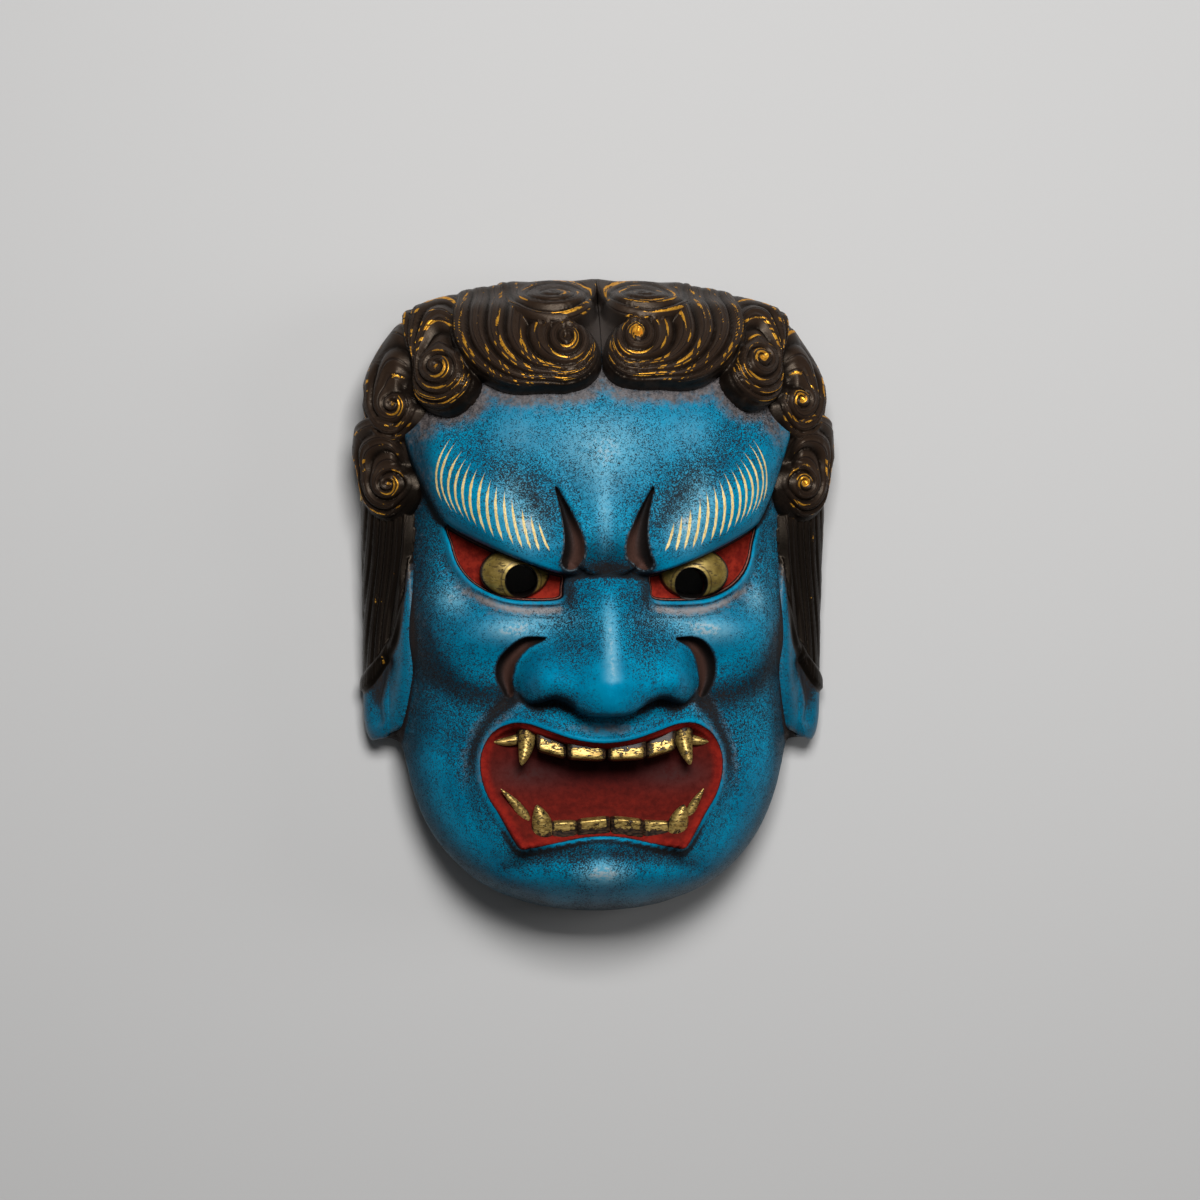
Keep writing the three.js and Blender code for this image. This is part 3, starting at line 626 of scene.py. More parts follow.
DASH = 14


def lock_relief(lock, x, y):
    """A curl, and outside it strands that spread out towards the lock's far reach."""
    dx, dy = x - lock["at"][0], (y - lock["at"][1]) * lock["squash"]
    turn = (np.arctan2(dy, dx) / (2 * math.pi)) % 1
    n = len(lock["reach"])
    reach = graph([(k, lock["reach"][k % n]) for k in range(-2, n + 3)], turn * n)
    r = np.hypot(dx, dy)
    curl = np.minimum(lock["curl"], reach - 2)
    out = np.clip((r - curl) / (reach - curl), 0, 1)
    edge = np.clip((reach - r) / 6, 0, 1)
    roll = np.sqrt(1 - (1 - edge) ** 2)
    phase = lock["rings"] * np.minimum(1, r / curl) + lock["strands"] * out**1.25 - turn
    bare = lock["bare"] * ease(0.25, 0.33, turn) * ease(0.56, 0.48, turn) * ease(1.1, 1.5, r / curl)
    strand = crests(phase) * ease(0.5, 2.5, r) * ease(0.1, 0.75, edge) * (1 - bare)
    rope = strand * mix(1, 0.35, ease(100, 112, y))
    lift = 1.5 * bell(r / curl, 0.8) - 1.3 * bell(out - 0.12, 0.14) * ease(12, 30, reach)
    thick = lock["thick"] * roll + lift - 1.6 * bare + 2.6 * (rope - 0.3 * ease(0.1, 0.75, edge)) + bell(r, 2)
    thick = thick * mix(1, 0.62, ease(101, 113, y))
    run = (np.floor(phase) + turn) * 2 * math.pi * r / DASH
    within = r < reach
    return np.where(within, thick, 0), np.where(within, np.maximum(strand, bell(r, 1.8)), 0), phase, run


# %% Ear lobes and the hair between the locks
lobe_line = line([
    (71.9, 14), (70.9, -1.7), (70.8, -15.5), (71.2, -23), (72.2, -31), (73.5, -38.3), (75, -45), (76.9, -51),
    (79.6, -55), (83.5, -56.2), (87.5, -52.5), (89.5, -44), (89.5, -34), (86, -27), (80, -20), (76, -12),
    (73.4, 0), (72.6, 10)], closed=True)
lobe_groove = line([(78.6, -25), (80.4, -32), (82, -39), (81.4, -46)])


def lobe_relief(x, y):
    edge = inside(lobe_line, x, y)
    roll = np.sqrt(1 - (1 - np.clip(-edge / 2.4, 0, 1)) ** 2)
    return np.where(edge < 0, (3.6 - 2.1 * bell(distance(lobe_groove, x, y), 2.5)) * roll, 0)


def hair(x, y):
    """Thickness, strand, phase, depth inside the hair (below 0 on skin) and dashes along a strand."""
    depth = left_of(hairline, x, y)
    phase = (x + 0.1 * y) / 2.6 + 0.12 * np.sin(y / 9)
    run = np.floor(phase) * 31.7 + y / DASH
    strand = crests(phase) * ease(0.2, 1.6, depth) * ease(40, 30, y)
    lobe = lobe_relief(x, y)
    cover = ease(0, 1.3, depth)
    thick = np.maximum(cover * (3.1 + 1.1 * (strand - 0.4)), lobe + 1.2 * cover * (lobe > 0))
    for lock in (*curled_locks, crown_lock):
        t, *rest = lock_relief(lock, x, y)
        strand, phase, run = (np.where(t > thick, new, old) for new, old in zip(rest, (strand, phase, run)))
        depth = np.where(t > thick, np.maximum(depth, 3), depth)
        thick = np.maximum(t, thick)
    return thick, strand, phase, depth, run


def near_curls(x, y, widths):
    return sum(mound(x, y, *lock["at"], width, width) for lock, width in zip(curled_locks, widths))


def gilt(x, y, run):
    """How much gold is left: most near a curl, little on the straight hair, in dashes along each strand."""
    near = near_curls(x, y, [13] * 4)
    left = np.clip(0.36 + 0.2 * near, 0, 0.58) * ease(22, 45, y) + 0.15 * ease(40, 20, y)
    dashes = 0.05 + 1.75 * ease(0.3, 0.75, hashed(run))
    arches = np.clip(mounds(x, y, (74, 84, 10, 9), (80, 56, 12, 8)), 0, 1)
    return left * dashes * (1 - 0.75 * arches) + 0.08 * near


# %% The hair's place on the block, and the share at which it begins
HAIR_COLUMNS, HAIR_ROWS = 520, 120
LIFT = 5.5


def raised_hair(x, y):
    """The real locks sit higher on the right, most of all the second one."""
    higher = 1.6 * ease(0, 15, x) + 1.6 * mound(x, y, 57, 82, 16, 18)
    return x, y - higher * ease(110, 96, y) * ease(30, 60, y)


def hair_at(angle, share, right):
    point, px, py = on_block(angle, share)
    normal = outward(angle, share)
    drop = 1 - np.clip((share - WALL_FROM) / (1 - WALL_FROM), 0, 1)
    normal[..., 2] *= drop
    px, py = px + LIFT * drop * normal[..., 0], py + LIFT * drop * normal[..., 1]
    if right:
        px, py = raised_hair(px, py)
    return point, normal, px, py, *hair(px, py)


columns = np.linspace(math.radians(90), math.radians(-36.6), HAIR_COLUMNS + 1)
scan = np.linspace(0.55, 0.98, 173)
first = []
for right in (False, True):
    found = hair_at(*np.meshgrid(columns, scan, indexing="ij"), right)[4] > 0.02
    first.append(np.where(found.any(axis=1), scan[found.argmax(axis=1)], 0.97))
print("hairlines found,", round(time.time() - started, 1), "s; share from", round(first[0].min(), 3))

# %% [markdown]
# Each half of the hair is a grid bent over the block. Its first rows tuck under the skin, and the rest stand
# off along the block's normals by the locks' thickness. A second, coarser grid underneath closes the shell,
# and two round cuts seat the brass eyelet. The left half is carved as a right half and then mirrored.

# %% The hair as a shell on the block, from the hairline to the rim
TUCKED = {0: -3.5, 1: -1.2}
OTHER_DASHES = 5.5


def hair_shell(name, right):
    bm = bmesh.new()
    bmesh.ops.create_grid(bm, x_segments=HAIR_COLUMNS, y_segments=HAIR_ROWS, size=1)
    obj = piece(name, bm)
    flat = read_points(obj.data)
    column = np.clip(np.rint((flat[:, 0] + 1) / 2 * HAIR_COLUMNS), 0, HAIR_COLUMNS).astype(int)
    row = np.clip(np.rint((flat[:, 1] + 1) / 2 * HAIR_ROWS), 0, HAIR_ROWS).astype(int)
    go = np.clip((row - 2) / (HAIR_ROWS - 2), 0, 1)
    start = first[right][column]
    share = np.minimum(1, start + (1 - start) * (0.75 * go + 0.25 * go**2))
    point, normal, px, py, thick, strand, phase, depth, run = hair_at(columns[column], share, right)
    for tucked_row, below in TUCKED.items():
        thick = np.where(row == tucked_row, below, thick)
    point = point + normal * thick[:, None]
    point[:, 0] = np.maximum(point[:, 0], 0.1)
    point[row == HAIR_ROWS, 2] = 0.2
    write_points(obj.data, point)
    # Painted shade in each lobe's groove, and along the edge where the hair and lobes meet the skin.
    lobe_groove_shade = 1.2 * bell(distance(lobe_groove, px, py), 3.2) * ease(-48, -34, py)
    wave = 2 * math.pi * phase
    for title, values in (
            ("strand", strand), ("wave_cos", np.cos(wave)), ("wave_sin", np.sin(wave)),
            ("depth", np.clip(depth, -4, 4)), ("gilt", gilt(px, py, run + OTHER_DASHES * right)),
            ("knob", near_curls(px, py, [lock["knob"] for lock in curled_locks])), ("dim", ease(42, 22, py)),
            ("parting", mound(px, py, 0, 96, 5, 9)), ("lobe_soot_and_shade", lobe_groove_shade + bell(depth, 0.6))):
        write_value(obj.data, title, values)
    return obj


# %% Close a shell underneath, and mirror it
LINING_DEPTH = 4.5


def close_shell(obj, right, across=104, down=6):
    bm = bmesh.new()
    bm.from_mesh(obj.data)
    outer = [e for e in bm.edges if e.is_boundary]
    lining = bmesh.ops.create_grid(bm, x_segments=across, y_segments=down, size=1)["verts"]
    flat = np.array([p.co[:] for p in lining])
    along, fine_steps = (flat[:, 0] + 1) / 2, np.linspace(0, 1, HAIR_COLUMNS + 1)
    angle, start = np.interp(along, fine_steps, columns), np.interp(along, fine_steps, first[right])
    share = mix(start + 0.01, 0.97, (flat[:, 1] + 1) / 2)
    point = on_block(angle, share)[0] - LINING_DEPTH * outward(angle, share)
    for p, (x, y, z) in zip(lining, point):
        p.co = metres(max(0.3, x), y, max(0.8, z))
    lining = set(lining)
    bmesh.ops.reverse_faces(bm, faces=[f for f in bm.faces if f.verts[0] in lining])
    inner = [e for e in bm.edges if e.is_boundary and e.verts[0] in lining]
    bmesh.ops.bridge_loops(bm, edges=outer + inner)
    keep(obj, bm)
    shade_smooth(obj.data)


def mirror(obj):
    bm = bmesh.new()
    bm.from_mesh(obj.data)
    bmesh.ops.scale(bm, verts=bm.verts, vec=(-1, 1, 1))
    bmesh.ops.reverse_faces(bm, faces=bm.faces)
    bm.to_mesh(obj.data)
    bm.free()


def half_of_hair(name, right):
    obj = hair_shell(name, right)
    close_shell(obj, right)
    drill(obj, rod("sleeve", SLEEVE_RADIUS, 14, (85.3, *CORD_AT), across=True, sides=32),
          rod("seat", SLEEVE_RADIUS + 1, 10, (89.6, *CORD_AT), across=True, sides=40))
    if not right:
        mirror(obj)
    return obj


hair_left, hair_right = half_of_hair("hair_left", False), half_of_hair("hair_right", True)
print("hair carved,", round(time.time() - started, 1), "s")

# %% [markdown]
# ## Teeth
#
# Each tooth is a ball drawn out from its root to its tip. Front teeth are low slabs with square ends. Fangs
# are round and taper to a blunt point. A row in the table is the root, the tip, the width and depth, 1 for a
# slab or 0 for a fang, and how far a slab slants. The real rows sit a little to the right of the middle, so
# each row is moved. Roots are sunk in the gum. Gold is worn from the flanks, and is bare for a share of the
# way from the root. On the upper teeth that dark share is also the lip's shadow, painted.

# %% Teeth
upper = [
    ((7.3, -50.4, 60), (7.2, -59, 61.4), 13.7, 6.5, 1, 0.06),
    ((19.8, -48, 57), (19.6, -57.2, 58.6), 10.6, 6.4, 1, 0.3),
    ((28.3, -45.5, 54), (30.3, -60.7, 61.6), 7, 7, 0.08, 0),
    ((28.5, -50.4, 53), (39.2, -52.6, 54.2), 4.2, 4, 0.05, 0)]
lower = [
    ((6, -86.2, 59), (6, -79.7, 59.8), 12, 6.2, 1, -0.1),
    ((16.8, -87.2, 58.4), (16.4, -80.7, 58.9), 10.2, 6.2, 1, -0.08),
    ((24.4, -88.6, 58.5), (26.4, -74.9, 62), 9, 7, 0.03, 0),
    ((26.6, -85.5, 56.5), (36.6, -69.2, 59), 4.4, 4, 0, 0)]


def tooth(bm, root, tip, width, depth, block, slant, bare, grime):
    ball = bmesh.ops.create_uvsphere(bm, u_segments=40, v_segments=28, radius=1)["verts"]
    p = np.array([v.co[:] for v in ball])
    go = (p[:, 2] + 1) / 2
    ring = np.maximum(1e-6, np.hypot(p[:, 0], p[:, 1]))
    a, b = p[:, 0] / ring, p[:, 1] / ring
    boxy = np.maximum(1e-9, np.abs(a) ** 7 + np.abs(b) ** 7) ** (-1 / 7)
    a, b = a * mix(1, boxy, block), b * mix(1, boxy, block)
    square = np.maximum(0, 1 - np.abs(2 * go - 1) ** 14) ** 0.3
    point = np.maximum(0, 1 - go**2.2) ** 0.75 * np.minimum(1, go / 0.04) ** 0.5
    size = mix(point, square, block)
    root, tip = np.array(root, float), np.array(tip, float)
    axis = (tip - root) / np.linalg.norm(tip - root)
    side = np.cross(axis, (0, 0, 1))
    side /= np.linalg.norm(side)
    front = np.cross(side, axis)
    bend = (1 - block) * 0.9 * np.sin(math.pi * go) * np.sign(side[0]) * -np.sign(tip[0])
    out = a * size * width / 2 + bend
    p = root + np.outer(go * np.linalg.norm(tip - root), axis)
    p = p + np.outer(out, side) + np.outer(b * size * depth / 2, front)
    p[:, 1] += slant * out * side[0] * np.sign(root[0])
    tip_share, flank = bm.verts.layers.float["tip"], bm.verts.layers.float["flank"]
    for v, co, t, q in zip(ball, p, go, np.abs(a * size)):
        v.co = metres(*co)
        v[tip_share], v[flank] = t - mix(0.15, bare, block), q + grime


def row_of_teeth(name, teeth, moved, bare, grime):
    bm = bmesh.new()
    for layer in ("tip", "flank"):
        bm.verts.layers.float.new(layer)
    for root, tip, *shape in teeth:
        for sign in (1, -1):
            ends = [(sign * x + moved * float(ease(37, 28, x)), y, z) for x, y, z in (root, tip)]
            tooth(bm, *ends, *shape, bare, grime)
    bmesh.ops.recalc_face_normals(bm, faces=bm.faces)
    return piece(name, bm)


# On the upper row the bare share by each root is partly worn gold and partly a painted shadow of the lip.
teeth = [row_of_teeth("teeth_upper", upper, moved=1.3, bare=0.43, grime=0.05),
         row_of_teeth("teeth_lower", lower, moved=2.7, bare=0.36, grime=0.12)]

# %% [markdown]
# ## Eyes
#
# The real eyeball is a low dome with the sight hole through it. It is made from rings between the hole and
# the eyeball's edge, and a skirt that runs down into the wood and back up the hole.

# %% Eyes
SKIRT_FOOT = 47


def eyeball(name, cx, hole):
    cy, cz, rx, ry, rise = 8.2, 53.5, 12.6, 9.2, 6.5
    around, rings = 96, 28
    bm = bmesh.new()
    bmesh.ops.create_grid(bm, x_segments=around, y_segments=rings, size=1)
    obj = piece(name, bm)
    flat = read_points(obj.data)
    turn = (flat[:, 0] + 1) * math.pi
    row = np.rint((flat[:, 1] + 1) / 2 * rings).astype(int)
    go = np.clip((row - 3) / (rings - 6), 0, 1)
    x = mix(hole[0] + SIGHT_RADIUS * np.cos(turn), cx + rx * np.cos(turn), go)
    y = mix(hole[1] + SIGHT_RADIUS * np.sin(turn), cy + ry * np.sin(turn), go)
    dome = cz + rise * np.sqrt(np.maximum(0, 1 - ((x - cx) / rx) ** 2 - ((y - cy) / ry) ** 2))
    z = np.where(row == 2, dome - 0.25, dome)
    skirt = {0: SKIRT_FOOT, 1: SKIRT_FOOT + 3, rings - 2: cz - 1.5, rings - 1: cz - 4, rings: SKIRT_FOOT}
    for ring, height in skirt.items():
        z = np.where(row == ring, height, z)
    point = np.stack([x, y, z], axis=-1)
    last = row == rings
    point[last, :2] = mix(point[last, :2], np.array(hole), 0.35)
    write_points(obj.data, point)
    write_value(obj.data, "ring", 10 * (1 - np.hypot((x - cx) / rx, (y - cy) / ry)))
    write_value(obj.data, "pupil", np.hypot(x - hole[0], y - hole[1]) - SIGHT_RADIUS)
    bm = bmesh.new()
    bm.from_mesh(obj.data)
    bmesh.ops.remove_doubles(bm, verts=bm.verts, dist=1e-6)
    bmesh.ops.bridge_loops(bm, edges=[e for e in bm.edges if e.is_boundary])
    keep(obj, bm)
    shade_smooth(obj.data)
    return obj


eyes = [eyeball("eye_left", -31.2, PUPILS[0]), eyeball("eye_right", 33.4, PUPILS[1])]

# %% [markdown]
# ## Where each colour goes
#
# The paint follows the carving: red inside the eyes and mouth, cream strokes on the brows, soot and painted
# shade in the grooves and creases, and dark stippling over the blue. Each of these is worked out from the
# carving's own lines for every point of the mesh and kept as an attribute, so the paint can't slip off the shape.

# %% Brow strokes, as a count across and a share along
strokes = [
    ((54.5, 56.2), (59.3, 43.9), (57.7, 34.5)), ((52.9, 54.5), (57.8, 41.1), (53.8, 30.3)),
    ((50.6, 51.4), (55.3, 40.1), (52.5, 29.8)), ((49.2, 48.6), (53.0, 37.3), (50.1, 28.4)),
    ((47.4, 47.2), (50.4, 36.3), (47.8, 26.5)), ((45.3, 44.8), (47.9, 35.4), (45.5, 25.1)),
    ((42.4, 43.8), (44.9, 33.5), (42.3, 22.7)), ((40.4, 41.0), (41.8, 30.7), (39.5, 21.3)),
    ((38.3, 38.8), (38.6, 28.8), (36.2, 19.9)), ((35.5, 37.0), (35.3, 27.8), (32.5, 18.5)),
    ((33.0, 33.9), (31.8, 25.0), (29.3, 17.1)), ((29.3, 30.6), (28.4, 24.1), (26.2, 16.6)),
    ((26.1, 28.3), (25.2, 23.1), (23.3, 16.1)), ((23.3, 25.9), (21.9, 21.2), (19.6, 16.1))]


def stroke_places(x, y):
    """A count, whole on a stroke from the outermost and halves midway, and a share from top to foot."""
    tops = [top[1] for top, _, _ in strokes]
    feet = [foot[1] for _, _, foot in strokes]
    lines = []
    for (x0, y0), (x1, y1), (x2, y2) in strokes:
        h = np.clip(y, y2 - 2, y0 + 2)
        lines.append(x0 * (h - y1) * (h - y2) / ((y0 - y1) * (y0 - y2))
                     + x1 * (h - y0) * (h - y2) / ((y1 - y0) * (y1 - y2))
                     + x2 * (h - y0) * (h - y1) / ((y2 - y0) * (y2 - y1)))
    count = np.clip((lines[0] - x) / 2.4, -0.5, 0)
    for i in range(len(lines) - 1):
        gap = np.maximum(0.8, lines[i] - lines[i + 1])
        count = np.where(x < lines[i], i + np.clip((lines[i] - x) / gap, 0, 1), count)
    count = np.where(x < lines[-1], len(lines) - 1 + np.clip((lines[-1] - x) / 2.4, 0, 0.5), count)
    top, foot = np.interp(count, range(len(lines)), tops), np.interp(count, range(len(lines)), feet)
    return count, (top - y) / (top - foot)


# %% The colour lines of the face
at = read_points(face_piece.data) * 1000
real_x, y = at[:, 0], at[:, 1] + MIDDLE
out_x, x = np.abs(real_x), halved(real_x, y)
gap_line = line([
    (71, 30), (69, 22), (67.6, 13), (66.9, 0), (66.5, -20), (67, -31), (68.3, -42), (69.4, -48), (70.6, -53.4),
    (72.4, -57), (76, -60)])
brow = left_of(brow_edge, x, y)
eye_edge = np.maximum(inside(eye_line, x, y), brow)
mouth_edge = inside(mouth_line, x, y)
groove = np.minimum(furrow(x, y) + 9 * (brow < -0.6), wing(x, y))
count, share = stroke_places(x, y)
# The side of each groove that is painted brown; the other side is painted near-black for its shadow.
_, along, side = nearest(furrow_line, x, y)
furrow_lit_side = ease(0.5, -0.4, side * furrow(x, y)) * ease(0.2, 0.6, along)
_, along, side = nearest(wing_groove, x, y)
wing_lit_side = ease(0.5, -0.4, side * wing(x, y)) * ease(0.05, 0.3, along)
for name, values in (
        ("eye_edge", np.clip(eye_edge, -15, 8)), ("mouth_edge", np.clip(mouth_edge, -30, 12)),
        ("groove", np.clip(groove, 0, 3)), ("brow_edge", np.clip(brow, -8, 8)), ("stroke_count", count),
        ("stroke_share", np.clip(share, -1, 2)), ("ear_gap", np.clip(left_of(gap_line, out_x, y), -6, 6)),
        ("mouth_dust_and_sheen", mound(x, y, 26, -64, 13, 5, 0.8)),
        ("mouth_shadow", 0.92 * ease(-76, -61, y) * bell(x, 32)),
        ("lining", np.where(y > -5, furrow_lit_side, wing_lit_side))):
    write_value(face_piece.data, name, values)
print("colour lines placed,", round(time.time() - started, 1), "s")

# %% [markdown]
# Each kind of paint is a sum of layers, kept between 0 and 1. Stippling may go a little over 1, where the
# flecks run together.

# %% What the paints follow
AROUND = 2.5
hair_lines = [on_block(columns[::4], start[::4])[0][:, :2] for start in first]
from_hair = np.where(real_x < 0, *(distance(hair_line, out_x, y) for hair_line in hair_lines))
from_outline = distance(line(half_outline), out_x, y)
from_valley, from_bag = distance(brow_valley, x, y), distance(eye_bag, x, y)
from_cheek, under_cheek = distance(cheek_edge, x, y), left_of(cheek_edge, x, y)
from_fold = distance(line([(33.5, -37.5), (40.6, -45), (45.4, -55), (46.6, -66), (45, -76)]), x, y)
lips = ease(0.8, 1.6, mouth_edge) * bell(np.maximum(0, mouth_edge - 1.6), 1.4)
under_eye = ease(6, 0, y) * ease(13, 18, x)


def carved(x, y):
    return face(x, y, head(x, y))


# How far each point lies below its neighbours, for the painted shade in the hollows.
sides = sum(carved(real_x + a, y + b) for a, b in ((AROUND, 0), (-AROUND, 0), (0, AROUND), (0, -AROUND)))
hollowness = np.clip((sides / 4 - carved(real_x, y)) / 1.5, 0, 1)


def plan(name, *layers, most=1):
    write_value(face_piece.data, name, np.clip(sum(layers), 0, most))


# %% Soot and painted shade in the grooves and creases, and grey dust along the hair
# Soot together with painted shade: dark in the fold, under the brow's edge, the nose, the lower lip and the
# hair's edge, in the creases and in the hollows, where shade falls.
plan(
    "soot_and_shade",
    0.72 * bell(from_fold, 2.3) * ease(-76, -58, y),
    0.9 * lips * ease(-80, -88, y),
    0.75 * bell(brow + 0.5, 0.9) * (x < 62),
    0.95 * np.clip(bell(y - 9.8, 2.8) * bell(x, 14) + bell(x - 12.6, 3) * bell(y - 2, 8), 0, 1),
    0.35 * bell(under_cheek - 2, 5) * ease(30, 40, x),
    0.8 * bell(eye_edge - 1.9, 0.55) * under_eye,
    0.5 * bell(eye_edge - 6, 0.5) * ease(46, 38, x) * under_eye,
    0.6 * bell(y - graph(nose_under, x), 1.8) * ease(10, 16, x) * ease(38, 33, x),
    0.8 * bell(distance(nostril, x, y), 3),
    0.15 * bell(y + 45, 2.5) * bell(x, 26) * (mouth_edge > 0),
    0.5 * bell(distance(chin_crease, x, y), 4),
    0.45 * bell(from_valley, 6) * bell(y - 34, 14),
    0.5 * bell(from_hair, 0.8),
    0.5 * hollowness,
    0.85 * bell(np.maximum(0, groove - 1), 0.3),
    0.2 * bell(from_cheek, 4))
plan(
    "patina",
    bell(from_hair, 5.5) * mix(0.3, 1, ease(50, 66, y)),
    0.5 * bell(from_fold - 2.5, 2.5) * ease(-80, -60, y),
    0.35 * bell(from_bag, 4.5),
    0.6 * bell(eye_edge - 3.6, 1.5) * under_eye,
    0.65 * bell(y + 47.5, 2.5) * bell(x, 15),
    mound(x, y, 0, -92, 20, 3, 0.2))

# %% Painted shade on the flanks, white mist and painted highlights on the high places, and the stippling
# Painted shade: darker under the cheeks, on the sides of the head, under the brows, between them, under the lower
# lip, at the chin's foot and along the jaw.
plan(
    "shade",
    bell(under_cheek - 3.5, 5) * ease(28, 38, x),
    0.9 * ease(56, 66, -real_x) * ease(-64, -46, y),
    0.9 * ease(60, 67, real_x) * ease(-8, -18, y) * ease(-64, -46, y),
    0.45 * bell(brow - 1, 3) * (brow > 0) * ease(25, 40, x),
    0.5 * bell(y + 91.5, 2.5) * bell(x, 24),
    ease(-109, -114, y),
    0.9 * bell(y - 14, 7) * bell(x, 17) * (brow > 0),
    0.5 * bell(from_valley, 5) * bell(y - 34, 12),
    0.8 * ease(9, 1, from_outline) * (y < -50))
# Mounds of white mist that also carry painted highlights: centre, two radii and height.
forehead_mist_and_highlight = [(0, 54, 18, 12, 0.78), (0, 40, 8, 12, 0.35), (0, 28, 2.4, 9, 0.6), (31, 58, 9, 8, 0.35)]
brow_mist_and_highlight = [(27, 25, 6, 7.5, 1), (33.5, 36, 6, 8, 0.8)]
cheek_mist_and_highlight = [(35, -12.5, 10, 3.6, 1), (54, -1, 5, 5, 0.9), (24, -8.5, 12, 3.4, 0.6)]
# Whitish mist with painted highlights on the forehead, brows, cheeks, under the eyes and on the chin, where the
# key lamp would shine on the satin paint.
plan(
    "mist_and_highlight",
    mounds(x, y, *forehead_mist_and_highlight, *brow_mist_and_highlight, *cheek_mist_and_highlight),
    0.5 * bell(eye_edge - 3.4, 1) * under_eye * ease(48, 40, x),
    np.maximum(0, mound(x, y, 0, -99.5, 12, 6, 1.6) - 0.5),
    # A painted reflection of the key lamp down the nose ridge, square at its foot.
    0.85 * bell(real_x - 1.4, 2.4) * ease(3, -12, y) * ease(-31.5, -29.5, y))
dense = [(61, 18, 7, 14, 0.4), (14, -14, 7, 14, 0.3), (70, 5, 10, 40, 0.3), (52, -55, 14, 26, 0.1)]
sparse = [
    (42, -14, 17, 11, -0.6), (0, 32, 10, 12, -0.25), (0, -32, 14, 10, -0.9), (24, -29, 9, 9, -0.5),
    (0, -47, 22, 4, -0.3), (34, 60, 20, 14, -0.4), (0, -106, 30, 6, -0.25)]
plan(
    "speckle",
    0.86 - 0.42 * ease(21, 10, from_outline) * ease(-40, -58, y) + 0.2 * ease(12, 0, y),
    mounds(x, y, *dense, *sparse),
    0.45 * bell(from_valley, 11) + 0.2 * lips,
    -0.5 * bell(x, 3.5) * ease(5, -5, y),
    -0.4 * bell(distance(brow_crest, x, y), 9) * (brow > 0),
    -0.9 * bell(mouth_edge - 0.6, 1.1) - 0.9 * bell(eye_edge - 0.9, 1.3) - 0.3 * bell(groove - 1.2, 0.3),
    most=1.3)
print("paint planned,", round(time.time() - started, 1), "s")

# %% [markdown]
# ## Materials
#
# Paint, gold leaf and lacquer are built from noise textures in Object coordinates and from the attributes. A
# few short helpers make the node trees readable: arithmetic on a field adds Math nodes, so a mask reads as a
# formula. Effects that several finishes share are node groups, which give out masks, heights and colours. The
# Principled shader stays in each material.


# %% Fields and nodes
class Field:
    """A value or colour that varies over a surface."""

    def __init__(self, tree, socket):
        self.tree, self.socket = tree, socket

    def __add__(self, other):
        return maths("ADD", self, other)

    def __sub__(self, other):
        return maths("SUBTRACT", self, other)

    def __rsub__(self, other):
        return maths("SUBTRACT", other, self)

    def __mul__(self, other):
        return maths("MULTIPLY", self, other)


def feed(socket, value):
    """Link a field to a socket, or set the socket to a plain value."""
    if isinstance(value, Field):
        value.tree.links.new(value.socket, socket)
    else:
        socket.default_value = value


def node(tree, kind, gives, inputs=None, **settings):
    """Add a node, fill its sockets, and give one of its outputs as a field."""
    made = tree.nodes.new("ShaderNode" + kind)
    for key, value in settings.items():
        setattr(made, key, value)
    for key, value in (inputs or {}).items():
        feed(made.inputs[key], value)
    return Field(tree, made.outputs[gives])


def maths(operation, a, b=0.0, clamp=False):
    tree = (a if isinstance(a, Field) else b).tree
    return node(tree, "Math", 0, {0: a, 1: b}, operation=operation, use_clamp=clamp)


# %% Steps, colours and patterns
def between(value, low, high, out_low=0.0, out_high=1.0):
    """A soft step: out_low below low, out_high above high. Low may be the larger of the two."""
    if low > high:
        low, high, out_low, out_high = high, low, out_high, out_low
    return node(value.tree, "MapRange", 0, {
        "Value": value, "From Min": low, "From Max": high, "To Min": out_low, "To Max": out_high},
        interpolation_type="SMOOTHSTEP")


def over(under, top, share):
    """One colour laid over another. A plain colour is three numbers."""
    under, top = (colour if isinstance(colour, Field) else (*colour, 1) for colour in (under, top))
    return node(share.tree, "Mix", 2, {"Factor": share, 6: under, 7: top}, data_type="RGBA")


def tones(value, low, high, first_tone, second_tone):
    return over(first_tone, second_tone, between(value, low, high))


def kept(tree, name):
    return node(tree, "Attribute", "Fac", attribute_name=name)


def place(tree, stretch=(1, 1, 1)):
    """Object coordinates in millimetres, which may be squeezed along an axis to draw a pattern out."""
    in_metres = node(tree, "TexCoord", "Object")
    return node(tree, "Mapping", 0, {"Vector": in_metres, "Scale": [1000 * k for k in stretch]})


def scaled(where, size):
    return node(where.tree, "VectorMath", 0, {0: where, 1: size}, operation="DIVIDE")


def cloud(where, size, detail=2.0, roughness=0.5, warp=0.0):
    return node(where.tree, "TexNoise", "Fac", {
        "Vector": where, "Scale": 1 / size, "Detail": detail, "Roughness": roughness, "Distortion": warp})


def fray(where, size, detail, roughness, amount):
    """A cloud that swings about zero, to fray an edge."""
    return (cloud(where, size, detail, roughness) - 0.5) * amount


# %% Groups and materials
def group(name, inputs, outputs):
    """A new group's tree, its inputs as fields, and its output sockets."""
    tree = bpy.data.node_groups.new(name, "ShaderNodeTree")
    for title, value in inputs.items():
        tree.interface.new_socket(title, in_out="INPUT", socket_type="NodeSocketFloat").default_value = value
    for title, kind in outputs.items():
        tree.interface.new_socket(title, in_out="OUTPUT", socket_type="NodeSocket" + kind)
    given = tree.nodes.new("NodeGroupInput").outputs
    fields = {title: Field(tree, given[title]) for title in inputs}
    return tree, fields, tree.nodes.new("NodeGroupOutput").inputs


def use(tree, made, inputs):
    held = tree.nodes.new("ShaderNodeGroup")
    held.node_tree = made
    for key, value in inputs.items():
        feed(held.inputs[key], value)
    return {socket.name: Field(tree, socket) for socket in held.outputs}


